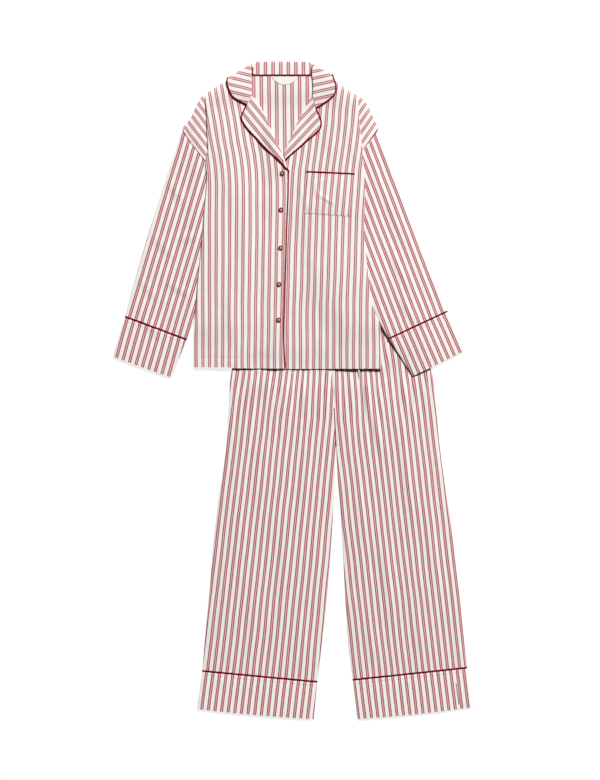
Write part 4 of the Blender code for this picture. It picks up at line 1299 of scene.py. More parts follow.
# %% The whole back
def make_back():
    """Right half, middle and left half of every row, from the shoulders down to the hem."""
    kept = [k for k in range(len(RIGHT_FRONT)) if k != GORGE]
    readers = {side: table_reader([FRONTS[side][k] for k in kept]) for side in SIDES}
    armpit = kept.index(ARMPIT)
    shares = [NECK_SHARE.get(RIGHT_FRONT[k].name, 0.0) for k in kept]
    levels = places(readers[-1][1], 8.0)
    rows, cloth_rows = [], []
    for t in levels:
        halves, folds = [], []
        for side in SIDES:
            half, fold = back_half(side, readers[side][0], t, t >= armpit)
            halves.append(half)
            folds.append(fold)
        share = through(shares, t)
        main = []
        for i in range(BACK_MAIN + 1):
            at = folds[0].lerp(folds[1], i / BACK_MAIN) + back_top_bend(i / BACK_MAIN) * share
            main.append(Vector((at.x, at.y, back_height(at.x, at.y))))
        row = halves[0][::-1] + main + halves[1]
        rows.append(row)
        grain = planar("jacket_back")
        cloth_rows.append([grain(*place) for place in opened(row, HALF, HALF + BACK_MAIN)])
    columns = len(rows[0])

    def keep(j, i):
        from_edge = min(i, columns - 2 - i)
        if levels[j] >= armpit:
            return from_edge >= DROPPED
        return from_edge >= DROPPED + DEEP or levels[j + 1] < armpit

    return shell("jacket_back", rows, lambda cj, ci, j, i: cloth_rows[j][i], JACKET_COTTON, keep=keep)


declare(make_back())
print("jacket_back", made_pieces["jacket_back"], "faces")

# %% [markdown]
# ## Flattened tubes
#
# Sleeves, legs, cuffs and hem bands are tubes pressed flat: an upper layer, a lower layer and a
# tight half round at each fold, closed by a seam underneath. One function makes the ring of such
# a tube at any place, and the tube is a stack of rings.

# %% Rings of a flattened tube
BEND = 6


def ring(outer, inner, low, high, gap_at, pieces):
    """Points round a flattened tube, starting and ending at the seam in its lower layer."""
    upper_pieces, under_pieces = pieces
    outward = (outer - inner).normalized()
    bottom, top = low(inner.x, inner.y), high(inner.x, inner.y)
    reach_in = (top - bottom) / 2
    reach_out = (high(outer.x, outer.y) - low(outer.x, outer.y)) / 2
    start, end = inner + outward * reach_in, outer - outward * reach_out
    seam = inner + outward * gap_at
    row = run(seam, start, low, 2)
    row += turn(inner, -outward, bottom, top, BEND)
    row += run(start, end, high, upper_pieces)
    row += turn(outer, outward, high(outer.x, outer.y), low(outer.x, outer.y), BEND)
    row += run(end, seam + outward * 0.3, low, under_pieces)
    return row


def ring_cloth(rows, grain, upper_pieces):
    """Cloth coordinates of a tube's rings: the upper layer in plan, the rest opened out."""
    first = 3 + BEND - 1
    table = [[grain(*place) for place in opened(row, first, first + upper_pieces)] for row in rows]
    return lambda cell_row, cell_column, j, i: table[j][i]


def moved(line, towards, distance):
    """A line of two points, moved square to itself towards a point."""
    along = (line[1] - line[0]).normalized()
    normal = Vector((-along.y, along.x))
    if normal.dot(towards - line[0]) < 0:
        normal = -normal
    return [point + normal * distance for point in line]


one_ring = ring(Vector((0, 0)), Vector((150, 0)), leg_low, leg_high(1), 8.0, (22, 16))
print("a ring has", len(one_ring), "points")

# %% Cuffs and hem bands
TURN_UP_ROWS = 18
TURN_UP_STITCHES = 10.0
SHORT_OF_SEAM = 1.1


def turn_up(name, seam, edge, low, high, gap_at, sag, pieces, finish):
    """A cuff or a hem band, stitched near its top, and the piping above it."""
    first = moved(seam, edge[0], PIPE_OUT - 0.4)
    length = (edge[0] - first[0]).length
    rows = []
    for k in range(TURN_UP_ROWS + 1):
        share = k / TURN_UP_ROWS
        outer, inner = first[0].lerp(edge[0], share), first[1].lerp(edge[1], share)
        row = ring(outer, inner, low, high, gap_at, pieces)
        along, down = outer - inner, (edge[0] - seam[0]).normalized()
        for point in row:
            place = (flat(point) - inner).dot(along) / along.length_squared
            bow = sag * 4 * place * (1 - place) * share
            point.x += down.x * bow
            point.y += down.y * bow
            if point.z > low(point.x, point.y) + 1.4:
                point.z += stitched(share * length - TURN_UP_STITCHES) + stitched(share * length, 2.5, 0.5)
                point.z += 0.35 * ramp(share * 8)
        rows.append(row)
    band = shell(name, rows, ring_cloth(rows, planar(name), pieces[0]), finish, thick=0.8)
    declare(band)
    across = (seam[0] - seam[1]).normalized() * 0.4
    cord = ring(seam[0] + across, seam[1] - across, lambda x, y: max(low(x, y) + 0.3, RING_PIPE * PRESSED),
                lambda x, y: high(x, y) + 0.8, gap_at, pieces)
    for point in cord:
        point.y += 0.8 * noise.noise(Vector((point.x / 26.0, 4.0, 0.0)))
    declare(tube(name + "_piping", cord, PIPING, RING_PIPE))
    return band


print("a turn-up has", TURN_UP_ROWS, "rows, stitched %.0f mm below its seam" % TURN_UP_STITCHES)

# %% [markdown]
# ## The sleeves
#
# Each sleeve is one piece round the arm. Its head follows the armhole seam, which runs from the
# top of the shoulder down to the armpit, and lets go of that curve further down the arm.

# %% Sleeves and cuffs
SLEEVE_PIECES = (26, 20)
UNDERARM_AT = 8.0


def bend_to_head(row, outer, inner, head, share):
    """Moves a straight ring onto the curve of the armhole."""
    along = outer - inner
    for point in row:
        place = 1.0 - ramp((flat(point) - inner).dot(along) / along.length_squared)
        curve = through(head, place * (len(head) - 1) * 0.9999)
        chord = head[0].lerp(head[-1], place)
        point.x += (curve.x - chord.x) * share
        point.y += (curve.y - chord.y) * share


def make_sleeve(side):
    """A sleeve from its curved head to the cuff seam, and its cuff."""
    table = SLEEVES[side][:-1]
    outers, inners = column(table, "outer"), column(table, "inner")
    outers[-1], inners[-1] = moved([outers[-1], inners[-1]], outers[0], SHORT_OF_SEAM)
    low, high, head = sleeve_low(side), sleeve_high(side), ARMHOLE[side]
    away = Vector((side * 0.5, -0.5))
    rows = []
    for t in places(outers, 8.0):
        outer, inner = through(outers, t), through(inners, t)
        near_head = ease(1 - t)
        outer, inner = outer + away * near_head, inner + away * near_head
        row = ring(outer, inner, low, high, UNDERARM_AT, SLEEVE_PIECES)
        bend_to_head(row, outer, inner, head, max(0.0, through(HEAD_SHARE, t)))
        for point in row:
            if t < 0.6 and point.z > low(point.x, point.y) + 1.4:
                point.z -= 0.5 * math.exp(-(t * 16) ** 2)
        rows.append(row)
    name = "sleeve_" + SIDES[side]
    cloth = ring_cloth(rows, planar(name), SLEEVE_PIECES[0])
    declare(shell(name, rows, cloth, SLEEVE_COTTON))
    seam, edge = SLEEVES[side][-2:]
    turn_up("cuff_" + SIDES[side], [flat(seam.outer), flat(seam.inner)],
            [flat(edge.outer), flat(edge.inner)], low, high, UNDERARM_AT, 1.0, SLEEVE_PIECES,
            SLEEVE_COTTON)


for side in SIDES:
    make_sleeve(side)
    print("sleeve_" + SIDES[side], made_pieces["sleeve_" + SIDES[side]], "faces")

# %% [markdown]
# ## The trousers
#
# A leg is a front and a back, joined near the outer fold on top and near the inner fold below.
# Above the crotch both stop at the centre seam. The waist is hidden by the jacket, and a plain
# elasticated band finishes it.

# %% Legs, hem bands and waistband
LEG_PIECES = (60, 28)


def make_leg(side):
    """Front and back of a leg, seam to seam, and its hem band."""
    table = LEGS[side][:-1]
    outers, inners = column(table, "outer"), column(table, "inner")
    outers[-1], inners[-1] = moved([outers[-1], inners[-1]], outers[0], SHORT_OF_SEAM)
    high = leg_high(side)
    levels = places(outers, 9.0)
    reach = HOLLOW / 2
    front_rows, back_rows, front_cloth, back_cloth = [], [], [], []
    for t in levels:
        outer, inner = through(outers, t), through(inners, t)
        outward = (outer - inner).normalized()
        tubed = t >= CROTCH
        under = min(INSEAM_UNDER, 10.0 + 15.0 * (t - CROTCH)) if tubed else 2 * reach
        centre = inner + outward * (0.0 if tubed else 0.3)
        side_seam = outer - outward * SIDE_SEAM_IN
        row = run(side_seam, centre + outward * (reach if tubed else 0.0), high, LEG_PIECES[0])
        row += turn(inner, -outward, high(*inner), leg_low(*inner), BEND)
        row += run(inner + outward * reach, inner + outward * under, leg_low, 3)
        front_rows.append(row)
        front_cloth.append([leg_grain(side)(*place) for place in opened(row, 0, LEG_PIECES[0])])
        back_inner = inner + outward * (under + 0.3) if tubed else centre
        row = run(back_inner, outer - outward * reach, leg_low, LEG_PIECES[1])
        row += turn(outer, outward, leg_low(*outer), high(*outer), BEND)
        row += run(outer - outward * reach, side_seam + outward * 0.3, high, 5)
        back_rows.append(row)
        on_top = len(row) - 6
        back_cloth.append([leg_grain(side)(*place) for place in opened(row, on_top, len(row) - 1)])
    name = SIDES[side]

    def keep(j, i):
        return i < LEG_PIECES[0] or levels[j] >= CROTCH

    front = shell("leg_front_" + name, front_rows, lambda cj, ci, j, i: front_cloth[j][i],
                  TROUSER_COTTON, keep=keep)
    back = shell("leg_back_" + name, back_rows, lambda cj, ci, j, i: back_cloth[j][i], TROUSER_COTTON)
    declare(front)
    declare(back)
    seam, edge = LEGS[side][-2:]
    turn_up("hem_band_" + name, [flat(seam.outer), flat(seam.inner)],
            [flat(edge.outer), flat(edge.inner)], leg_low, high, INSEAM_UNDER, 2.5, LEG_PIECES,
            BAND_COTTON)


for side in SIDES:
    make_leg(side)
    print("leg_front_" + SIDES[side], made_pieces["leg_front_" + SIDES[side]], "faces")


def make_waistband():
    """A band gathered by its elastic, in small even ripples."""
    foot = 211.4
    ends = [Vector((WAIST[0], WAISTBAND_TOP)), Vector((WAIST[1], WAISTBAND_TOP))]
    lower = [Vector((WAIST[0] - 4, foot)), Vector((WAIST[1] + 3, foot))]
    rows = []
    for k in range(9):
        left, right = ends[0].lerp(lower[0], k / 8), ends[1].lerp(lower[1], k / 8)
        gathered = lambda x, y: CLOTH / 2 + HOLLOW + 0.35 * math.sin(x / 1.9)
        rows.append(ring(left, right, leg_low, gathered, INSEAM_UNDER, (110, 40)))
    return shell("waistband", rows, ring_cloth(rows, planar("waistband"), 110), TROUSER_COTTON)


declare(make_waistband())

# %% [markdown]
# ## Lapels and collar
#
# The lapels are the fronts' own facings folded back along a soft roll line. The collar is sewn to
# the neck: it stands up at the back, rolls over, and its two wings lie on the fronts with their
# own slanting stripes. A collar folded by hand never creases sharply, so its roll is round.

# %% Lapels
def lapel_height(side, x, y):
    """The turned-back facing lies a little above the front."""
    return front_height(side, x, y) + LAPEL_LIFT


def make_lapel(side):
    """A facing from its piped edge to the roll line, round it and just under itself."""
    rolls, edges = column(LAPELS[side], "roll"), column(LAPELS[side], "edge")
    rows, cloth_rows = [], []
    grain = planar("lapel_" + SIDES[side])
    for t in places(edges, 5.0):
        roll, edge = through(rolls, t), through(edges, t)
        inwards = (roll - edge).normalized()
        reach, width = LAPEL_LIFT / 2, (roll - edge).length

        def soft(x, y):
            share = ramp((Vector((x, y)) - edge).length / width)
            return lapel_height(side, x, y) + 1.1 * math.sin(math.pi * share) ** 2 * ramp(width / 40)

        row = run(edge, roll - inwards * reach, soft, 12)
        row += turn(roll, inwards, lapel_height(side, *roll), front_height(side, *roll), 6)
        end = roll - inwards * reach
        row.append(Vector((end.x, end.y, front_height(side, *roll))))
        rows.append(row)
        cloth_rows.append([grain(*place) for place in opened(row, 0, 12)])
    name = "lapel_" + SIDES[side]
    return shell(name, rows, lambda cj, ci, j, i: cloth_rows[j][i], JACKET_COTTON, thick=0.8)


for side in SIDES:
    piece = make_lapel(side)
    declare(piece)
    print(piece.name, len(piece.data.polygons), "faces")


# %% The collar
def collar_heights(face, x, y):
    """Heights of the stand and of the fall where the collar faces up, sideways or down."""
    up = math.sin(math.radians(face))
    front, back = front_height(-1 if x < -25 else 1, x, y), back_height(x, y)
    return mix(back, front, (up + 1) / 2), mix(CLOTH / 2, front + LAPEL_LIFT, (up + 1) / 2)


def collar_row(seam, roll, edge, face):
    """Stand, round roll and fall at one place, with the piped edge's point."""
    over = math.cos(math.radians(face))
    to_roll = (roll - edge).normalized()
    out = Vector((-to_roll.y, to_roll.x))
    out = (out if out.y > 0 else -out) * 3.6 * over
    stand_z, fall_z = collar_heights(face, *roll)
    reach = max(1.0, abs(stand_z - fall_z) / 2)
    stand_end = roll - to_roll * reach
    row = run(seam, stand_end, lambda x, y: collar_heights(face, x, y)[0], 6)
    for i in range(1, 8):
        angle = math.pi * i / 8
        share = (1 - math.cos(angle)) / 2
        at = roll + to_roll * reach * (math.sin(angle) - 1) + out * share
        row.append(Vector((at.x, at.y, mix(stand_z, fall_z, share))))
    length = (edge - stand_end).length
    for point in run(stand_end, edge, lambda x, y: collar_heights(face, x, y)[1], 9):
        share = (flat(point) - stand_end).length / length
        arch = 1.0 * math.sin(math.pi * share) ** 2 * ramp(face / 45)
        row.append(Vector((point.x + out.x, point.y + out.y, point.z + arch)))
    corded = edge + out - to_roll * PIPE_OUT * (1 + 0.5 * over)
    return row, Vector((corded.x, corded.y, max(PIPE * PRESSED, row[-1].z + 0.2)))


def make_collar():
    """The collar in one strip round the neck, and the cord along its edge."""
    seams, rolls, edges = (column(COLLAR, name) for name in ("seam", "roll", "edge"))
    faces = column(COLLAR, "face")
    levels = places(edges, 5.0)
    rows, piping, lies_up = [], [], []
    for t in levels:
        face = max(-90.0, min(90.0, through(faces, t)))
        row, corded = collar_row(through(seams, t), through(rolls, t), through(edges, t), face)
        rows.append(row)
        piping.append(corded)
        lies_up.append(face > 20)
    stand = [[planar("stand")(*place) for place in opened(row, 0, 6)] for row in rows]
    last = len(rows[0]) - 1
    wings = {side: [[planar("wing_" + SIDES[side])(*place) for place in opened(row, 14, last)]
                    for row in rows] for side in SIDES}

    def cloth(cell_row, cell_column, j, i):
        if not lies_up[cell_row]:
            return stand[j][i]
        return wings[-1 if levels[cell_row] < len(COLLAR) / 2 else 1][j][i]

    collar = shell("collar", rows, cloth, JACKET_COTTON, thick=0.9)
    declare(collar)
    declare(tube("collar_piping", piping, PIPING))


make_collar()
print("collar", made_pieces["collar"], "faces")

# %% [markdown]
# ## Piping down the front, neck and label
#
# Piping is a cord wrapped in bias tape and caught in a seam. It follows the lapel's edge, crosses
# to the front edge at the top button and runs down to the hem, and a short length covers the back
# neck seam. The label below it is left bare.

# %% Front piping, neck piping and label
def make_front_piping(side):
    """The cord along a lapel's edge, across to the front edge and down to the hem."""
    edges = column(LAPELS[side], "edge")
    points = []
    for number, edge in enumerate(edges):
        along = (edges[min(len(edges) - 1, number + 1)] - edges[max(0, number - 1)]).normalized()
        at = edge + Vector((along.y, -along.x)) * -side * PIPE_OUT
        points.append(Vector((at.x, at.y, lapel_height(side, *edge) + 0.2)))
    for inner in column(FRONTS[side], "inner")[LAPEL_LOW + 2:]:
        points.append(Vector((inner.x - side * PIPE_OUT, inner.y, front_height(side, *inner))))
    above, below = points[len(edges) - 1], points[len(edges)]
    crossing, beside = above.lerp(below, 0.2), above.lerp(below, 0.5)
    crossing.z, beside.x = above.z, below.x - side * 0.6
    points[len(edges):len(edges)] = [crossing, beside]
    line = smooth_line(points, 5.0)
    for point in line:
        if point.y < crossing.y - 12:
            inner_x = point.x + side * PIPE_OUT
            point.z = front_height(side, inner_x, point.y) - stitched(point.y - HEM_Y - HEM_DEEP)
    return tube("front_piping_" + SIDES[side], line, PIPING)


for side in SIDES:
    declare(make_front_piping(side))

NECK_LINE = [(-99, 808, 1.2), (-98.5, 797, 1.0), (-96, 789, 0.4), (-60, 788, 0.2), (-23, 788, 0.2),
             (14, 788, 0.2), (44.5, 789, 0.4), (47.5, 797, 1.0), (48.5, 806, 1.2)]
neck_points = [Vector((x, y, back_height(x, y) + lift)) for x, y, lift in NECK_LINE]
declare(tube("neck_piping", smooth_line(neck_points), PIPING, 1.5))


def label_rows():
    """A bare half moon of satin tape, sewn round its edge."""
    rows = []
    middle, widest = (LABEL_LEFT + LABEL_RIGHT) / 2, (LABEL_RIGHT - LABEL_LEFT) / 2
    radius = (widest ** 2 + LABEL_DEPTH ** 2) / (2 * LABEL_DEPTH)
    for j in range(17):
        down = LABEL_DEPTH * math.sin(math.radians(89 * j / 16))
        half = math.sqrt(radius ** 2 - (radius - LABEL_DEPTH + down) ** 2) + 0.3
        y = LABEL_TOP - down
        rows.append(run(Vector((middle - half, y)), Vector((middle + half, y)),
                        lambda x, y: back_height(x, y) + 0.75, 16))
    return rows


LABEL_ROWS = label_rows()
label = shell("neck_label", LABEL_ROWS,
              lambda cj, ci, j, i: (LABEL_ROWS[j][i].x, LABEL_ROWS[j][i].y), LABEL, thick=0.4)
declare(label)
print("label and neck piping on the back neck seam")

# %% [markdown]
# ## The pocket
#
# A patch pocket is one piece with its edges turned in and stitched on three sides. Its open top
# is piped. It bellies out a little, and pulls soft creases between its stitched corners.

# %% The pocket
POCKET_CREASE = crease_field([
    Crease(60, 500, 70, 5, 100, 1.9), Crease(115, 505, 80, 6, 80, 1.6),
    Crease(86, 476, 66, 4, 148, 2.0), Crease(130, 465, 50, 4, 110, 1.4),
    Crease(72, 522, 60, 4, 20, 1.2), Crease(48, 470, 50, 4, 75, 1.3),
])
POCKET_WIDE, POCKET_DEEP = 118.0, 105.0
POCKET_EDGE, POCKET_TURNING = 2.6, 9.0


def pocket_point(u, v, lift=0.0):
    """A point u across and v down the pocket, both 0 to 1."""
    top, foot = ([flat(corner) for corner in POCKET_CORNERS[name]] for name in ("top", "foot"))
    at = top[0].lerp(top[1], u).lerp(foot[0].lerp(foot[1], u), v)
    belly = math.sin(math.pi * u) ** 0.7 * math.sin(math.pi * (0.15 + 0.85 * v))
    edge = min(u, 1 - u) * POCKET_WIDE
    foot_gap = (1 - v) * POCKET_DEEP
    line = min(edge, foot_gap) - POCKET_EDGE
    height = front_height(1, at.x, at.y) + 0.9 + 1.6 * belly + POCKET_CREASE(at.x, at.y) * belly
    height += stitched(line, 1.5, 0.25) + stitched(foot_gap - POCKET_TURNING, 1.5, 0.25)
    return Vector((at.x, at.y, height + lift))


def make_pocket():
    """The patch from its points, and the cord along its open top."""
    rows = [[pocket_point(i / 34, j / 30) for i in range(35)] for j in range(31)]
    grain = planar("pocket")
    pocket = shell("pocket", rows, lambda cj, ci, j, i: grain(rows[j][i].x, rows[j][i].y), JACKET_COTTON)
    declare(pocket)
    cord = [pocket_point(i / 30, 0.0, 0.35) + Vector((0.0, PIPE_OUT, 0.0)) for i in range(31)]
    declare(tube("pocket_piping", cord, PIPING))


make_pocket()
print("pocket", made_pieces["pocket"], "faces")

# %% [markdown]
# ## Buttons
#
# Turned buttons have a raised rim, a dished middle and four holes, through which the thread
# crosses. A profile spun round gives the body, a boolean cuts the holes, and two short thread
# bars are laid over them.

# %% One button
def spun(profile, segments=28):
    """A closed solid of turning from (radius, height) pairs, both ends on the axis."""
    build = bmesh.new()
    circles = []
    for radius, height in profile[1:-1]:
        circles.append([build.verts.new((radius * math.cos(a), radius * math.sin(a), height))
                        for a in (2 * math.pi * k / segments for k in range(segments))])
    ends = [build.verts.new((0, 0, profile[0][1])), build.verts.new((0, 0, profile[-1][1]))]
    for k in range(segments):
        after = (k + 1) % segments
        build.faces.new((ends[0], circles[0][k], circles[0][after]))
        build.faces.new((ends[1], circles[-1][after], circles[-1][k]))
        for lower, upper in zip(circles, circles[1:]):
            build.faces.new((lower[k], upper[k], upper[after], lower[after]))
    bmesh.ops.recalc_face_normals(build, faces=build.faces)
    return build


BUTTON_PROFILE = [(0, 0), (3.6, 0), (5.2, 0.35), (5.9, 1.0), (5.8, 1.5), (5.3, 1.85), (4.7, 1.9),
                  (4.2, 1.6), (3.4, 1.25), (2.3, 1.2), (1.2, 1.2), (0, 1.2)]
HOLE_AT, HOLE_RADIUS = 1.35, 0.65
DISH_RADIUS = 2.0


def add_mesh_object(name, build, finish):
    """A bmesh made a mesh object with one finish."""
    mesh = bpy.data.meshes.new(name)
    build.to_mesh(mesh)
    build.free()
    mesh.materials.append(finish)
    return put_in_scene(name, mesh)


def holed_button():
    """The turned body, its dish in a paler brown, with its four holes."""
    button = add_mesh_object("button_pattern", spun(BUTTON_PROFILE), BUTTON)
    button.data.materials.append(DISH)
    for face in button.data.polygons:
        if flat(face.center).length < DISH_RADIUS and face.center.z > 1.0:
            face.material_index = 1
    drills = bmesh.new()
    for x in (-HOLE_AT, HOLE_AT):
        for y in (-HOLE_AT, HOLE_AT):
            bmesh.ops.create_cone(drills, segments=12, radius1=HOLE_RADIUS, radius2=HOLE_RADIUS,
                                  depth=6.0, cap_ends=True, matrix=Matrix.Translation((x, y, 1.0)))
    drill = add_mesh_object("drill", drills, BUTTON)
    cut = button.modifiers.new("holes", "BOOLEAN")
    cut.operation, cut.solver, cut.object = "DIFFERENCE", "EXACT", drill
    settle(button, math.radians(35))
    bpy.data.objects.remove(drill)
    return button


def thread_cross():
    """Thread strands over the button's face, three each way."""
    build = bmesh.new()
    for angle in (45, 135):
        for offset in (-0.45, 0.0, 0.45):
            turned = Matrix.Rotation(math.radians(angle), 4, "Z")
            shape = turned @ Matrix.Translation((0, offset, 1.45)) @ Matrix.Diagonal((2.2, 0.42, 0.34, 1))
            bmesh.ops.create_icosphere(build, subdivisions=2, radius=1.0, matrix=shape)
    return add_mesh_object("thread_pattern", build, THREAD)


print("a button is %.1f mm across" % (2 * max(radius for radius, height in BUTTON_PROFILE)))

# %% Sewing the buttons on
def sewn_on(name, pattern, centre, normal):
    """The pattern copied to its place, with its place in its mesh."""
    mesh = pattern.data.copy()
    turned = Vector((0, 0, 1)).rotation_difference(normal).to_matrix().to_4x4()
    mesh.transform(Matrix.Translation(centre * MM) @ turned @ Matrix.Scale(MM, 4))
    thing = bpy.data.objects.new(name, mesh)
    bpy.context.scene.collection.objects.link(thing)
    mesh.name = name
    return thing


button_pattern, thread_pattern = holed_button(), thread_cross()
for number, (x, y) in enumerate(BUTTONS, start=1):
    slope_x = (front_height(-1, x + 5, y) - front_height(-1, x - 5, y)) / 10
    slope_y = (front_height(-1, x, y + 5) - front_height(-1, x, y - 5)) / 10
    normal = Vector((-slope_x, -slope_y, 1)).normalized()
    foot = Vector((x, y, front_height(-1, x, y))) + normal * 0.6
    declare(sewn_on("button_%d_turned" % number, button_pattern, foot, normal))
    thread = sewn_on("button_thread_%d" % number, thread_pattern, foot, normal)
    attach(thread, "root")
for pattern in (button_pattern, thread_pattern):
    bpy.data.objects.remove(pattern)
print(len(BUTTONS), "buttons on the right front")

# %% [markdown]
# ## Stitches
#
# A row of machine stitches is the same small loop of thread hundreds of times, so it is made from
# one small bead, laid along a line by a Geometry Nodes tree. The tree resamples the line at the
# stitch spacing, sets a copy at each point with its length along the line, and turns the copies
# into plain mesh. Its inputs have names, so the same tree sews every seam. Some rows are sewn in
# dark thread so that they also paint the shade in their seams and along the label's edge.

# %% The stitching tree
def make_stitch_tree():
    """Resamples a line, sets and turns a bead at each point, realizes and dyes them."""
    tree = bpy.data.node_groups.new("row_of_stitches", "GeometryNodeTree")
    for name, kind, value in (("Seam Line", "NodeSocketGeometry", None), ("Spacing", FLOAT, 0.0027),
                              ("Length", FLOAT, 0.0019), ("Width", FLOAT, 0.0005),
                              ("Seed", "NodeSocketInt", 7), ("Thread", "NodeSocketMaterial", None)):
        made = tree.interface.new_socket(name, in_out="INPUT", socket_type=kind)
        if value is not None:
            made.default_value = value
    tree.interface.new_socket("Stitches", in_out="OUTPUT", socket_type="NodeSocketGeometry")
    new, link = tree.nodes.new, tree.links.new
    given, result = new("NodeGroupInput"), new("NodeGroupOutput")
    resample = new("GeometryNodeResampleCurve")
    resample.mode = "LENGTH"
    link(given.outputs["Seam Line"], resample.inputs["Curve"])
    link(given.outputs["Spacing"], resample.inputs["Length"])
    bead = new("GeometryNodeMeshIcoSphere")
    bead.inputs["Radius"].default_value = 0.5
    bead.inputs["Subdivisions"].default_value = 1
    across = new("ShaderNodeCombineXYZ")
    for socket, source in (("X", "Width"), ("Y", "Width"), ("Z", "Length")):
        link(given.outputs[source], across.inputs[socket])
    uneven = new("FunctionNodeRandomValue")
    uneven.data_type = "FLOAT"
    low, high = [socket for socket in uneven.inputs if socket.enabled][:2]
    low.default_value, high.default_value = 0.85, 1.15
    link(given.outputs["Seed"], uneven.inputs["Seed"])
    scaled = new("ShaderNodeVectorMath")
    scaled.operation = "SCALE"
    link(across.outputs[0], scaled.inputs[0])
    link(next(socket for socket in uneven.outputs if socket.enabled), scaled.inputs["Scale"])
    turned = new("FunctionNodeAlignRotationToVector")
    turned.axis = "Z"
    link(new("GeometryNodeInputTangent").outputs[0], turned.inputs["Vector"])
    sewn = new("GeometryNodeInstanceOnPoints")
    link(resample.outputs["Curve"], sewn.inputs["Points"])
    link(bead.outputs["Mesh"], sewn.inputs["Instance"])
    link(turned.outputs["Rotation"], sewn.inputs["Rotation"])
    link(scaled.outputs[0], sewn.inputs["Scale"])
    real, dyed = new("GeometryNodeRealizeInstances"), new("GeometryNodeSetMaterial")
    link(sewn.outputs["Instances"], real.inputs["Geometry"])
    link(real.outputs["Geometry"], dyed.inputs["Geometry"])
    link(given.outputs["Thread"], dyed.inputs["Material"])
    link(dyed.outputs["Geometry"], result.inputs["Stitches"])
    return tree


STITCH_TREE = make_stitch_tree()


def sew(name, lines, thread, **values):
    """Stitches along lines of points in mm, as one plain mesh."""
    curve = bpy.data.curves.new(name, "CURVE")
    curve.dimensions = "3D"
    for line in lines:
        spline = curve.splines.new("POLY")
        spline.points.add(len(line) - 1)
        for knot, point in zip(spline.points, line):
            knot.co = (*(point * MM), 1.0)
    path = put_in_scene(name + "_path", curve)
    nodes = path.modifiers.new("stitches", "NODES")
    nodes.node_group = STITCH_TREE
    sockets = {item.name: item.identifier for item in STITCH_TREE.interface.items_tree}
    for socket, value in {"Thread": thread, **values}.items():
        nodes[sockets[socket]] = value
    graph = bpy.context.evaluated_depsgraph_get()
    mesh = bpy.data.meshes.new_from_object(path.evaluated_get(graph))
    bpy.data.objects.remove(path)
    mesh.materials.clear()
    mesh.materials.append(thread)
    mesh.name = name
    thing = bpy.data.objects.new(name, mesh)
    bpy.context.scene.collection.objects.link(thing)
    mesh.shade_smooth()
    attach(thing, "root")
    print(name, len(mesh.polygons) // 20, "stitches")
    return thing


# %% Stitches of the hem and the armholes
HEM_STITCHES_FROM = -15.0


def along(start, end, height, count=40, lift=0.3):
    """A straight seam on the cloth, lift above it."""
    return run(start, end, lambda x, y: height(x, y) + lift, count)


def hem_line(side):
    """Along a front's hem, from its edge or from beside the overlap to its folded side."""
    y = HEM_Y + HEM_DEEP
    start = HEM_STITCHES_FROM
    if side < 0:
        start = line_by_height(column(FRONTS[side], "inner"))(y) - 2
    return along(Vector((start, y)), Vector((FOLD_X[side](y) - side * 3, y)),
                 lambda x, y: front_height(side, x, y))


def armhole_line(side):
    """Along the armhole seam, on the head of the sleeve."""
    high = sleeve_high(side)
    line = smooth_line(ARMHOLE[side][:-2], 4.0)
    return [Vector((point.x, point.y, high(*point) + 0.45)) for point in line]


sew("hem_stitches", [hem_line(side) for side in SIDES], ROSE_THREAD_AND_SEAM_SHADE, Width=0.0007)
# The armhole row is dark and wide: painted shade in the seam, with the red of the stripes there.
sew("armhole_stitches", [armhole_line(side) for side in SIDES], SEAM_THREAD_AND_SHADE,
    Width=0.0017, Length=0.0052, Spacing=0.0031)
print("the hem is stitched %.0f mm above its edge" % HEM_DEEP)

# %% Stitches of the trousers
rise = LEG_INNER[1]
rise_seam = [Vector((rise(y) - 0.1, y, leg_high(1)(rise(y) + 3, y) + 0.3))
             for y in range(-46, -140, -4)]
# The rise row paints the seam's red edge and the shade that lies in the seam.
sew("rise_stitches", [rise_seam], SEAM_THREAD_AND_SHADE, Width=0.0024, Length=0.0068, Spacing=0.0034)
band_seam = along(Vector((409.5, -734)), Vector((416.5, -782)), leg_high(1), lift=0.6)
sew("band_seam_stitches", [band_seam], SEAM_THREAD_AND_SHADE, Width=0.0026, Length=0.0056, Spacing=0.0030)
print("the seam below the jacket's hem is %.0f mm long" % (rise_seam[0] - rise_seam[-1]).length)

# %% Stitches of the label, the turn-ups and the pocket
def band_line(table, high, inward):
    """A line across a cuff or hem band, inward mm below its seam."""
    seam, edge = table[-2:]
    outer, inner = moved([flat(seam.outer), flat(seam.inner)], flat(edge.outer), inward)
    return along(outer.lerp(inner, 0.015), outer.lerp(inner, 0.985), high, lift=0.55)


label_edge = [row[0] for row in LABEL_ROWS] + [row[-1] for row in LABEL_ROWS[::-1]]
label_line = [point + Vector((0, 0, 0.25)) for point in label_edge]
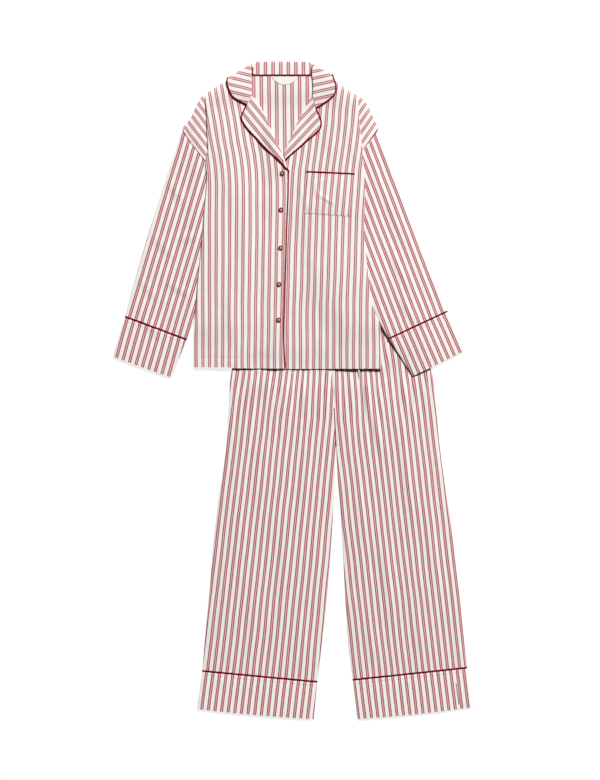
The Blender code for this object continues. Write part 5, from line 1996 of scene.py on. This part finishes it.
# The grey label stitches also paint the shadow along the label's edge.
sew("label_stitches", [label_line], GREY_THREAD_AND_EDGE_SHADE, Width=0.0007)
cuff_lines = [band_line(SLEEVES[side], sleeve_high(side), TURN_UP_STITCHES) for side in SIDES]
cuff_lines += [band_line(LEGS[side], leg_high(side), TURN_UP_STITCHES) for side in SIDES]
sew("turn_up_stitches", cuff_lines, ROSE_THREAD_AND_SEAM_SHADE, Width=0.0006)
pocket_lines = [[pocket_point(0.022, v / 20, 0.25) for v in range(21)],
                [pocket_point(0.978, v / 20, 0.25) for v in range(21)],
                [pocket_point(u / 20, 0.975, 0.25) for u in range(21)],
                [pocket_point(0.022 + 0.956 * u / 20, 0.915, 0.25) for u in range(21)]]
# The pocket's rose rows also paint the shadow in its stitched seams.
sew("pocket_stitches", pocket_lines, ROSE_THREAD_AND_SEAM_SHADE, Width=0.0007)
print(len(cuff_lines), "lines of stitches on the turn-ups and", len(pocket_lines), "on the pocket")

# %% [markdown]
# ## Floor, light and finish
#
# The floor glows a little by itself, so it stays white and only the closest shadows show how thin
# the cloth is. The sky is dim, and one strong lamp beyond the collar grazes the folds and draws a
# line of shadow under each hem. Last, the faces of all pieces are counted.

# %% The floor and the lights
floor_build = bmesh.new()
bmesh.ops.create_grid(floor_build, x_segments=1, y_segments=1, size=4.0)
FLOOR = speckled("pale_floor", (0.31, 0.31, 0.31), (0.28, 0.28, 0.28), 3.0, 0.9, 0.00002)
floor_sockets = FLOOR.node_tree.nodes["Principled BSDF"].inputs
floor_sockets["Emission Color"].default_value = (1.0, 1.0, 1.0, 1.0)
floor_sockets["Emission Strength"].default_value = 0.80
floor = add_mesh_object("floor", floor_build, FLOOR)

world = bpy.data.worlds.new("studio")
bpy.context.scene.world = world
world.use_nodes = True
world.node_tree.nodes["Background"].inputs["Color"].default_value = (1.0, 1.0, 1.0, 1.0)
world.node_tree.nodes["Background"].inputs["Strength"].default_value = 0.05


def lamp(name, place, aim, size, power):
    data = bpy.data.lights.new(name, "AREA")
    data.shape, data.size, data.energy = "DISK", size, power
    thing = bpy.data.objects.new(name, data)
    thing.location = place
    thing.rotation_euler = (Vector(aim) - Vector(place)).to_track_quat("-Z", "Y").to_euler()
    bpy.context.scene.collection.objects.link(thing)


lamp("window", place=(6.1, 13.9, 11.5), aim=(0, 0, 0), size=2.0, power=5180)
bpy.context.scene.view_settings.view_transform = "Standard"
print("floor, sky and one lamp")

# %% Counting the faces
print(sum(made_pieces.values()), "faces in", len(made_pieces), "pieces")
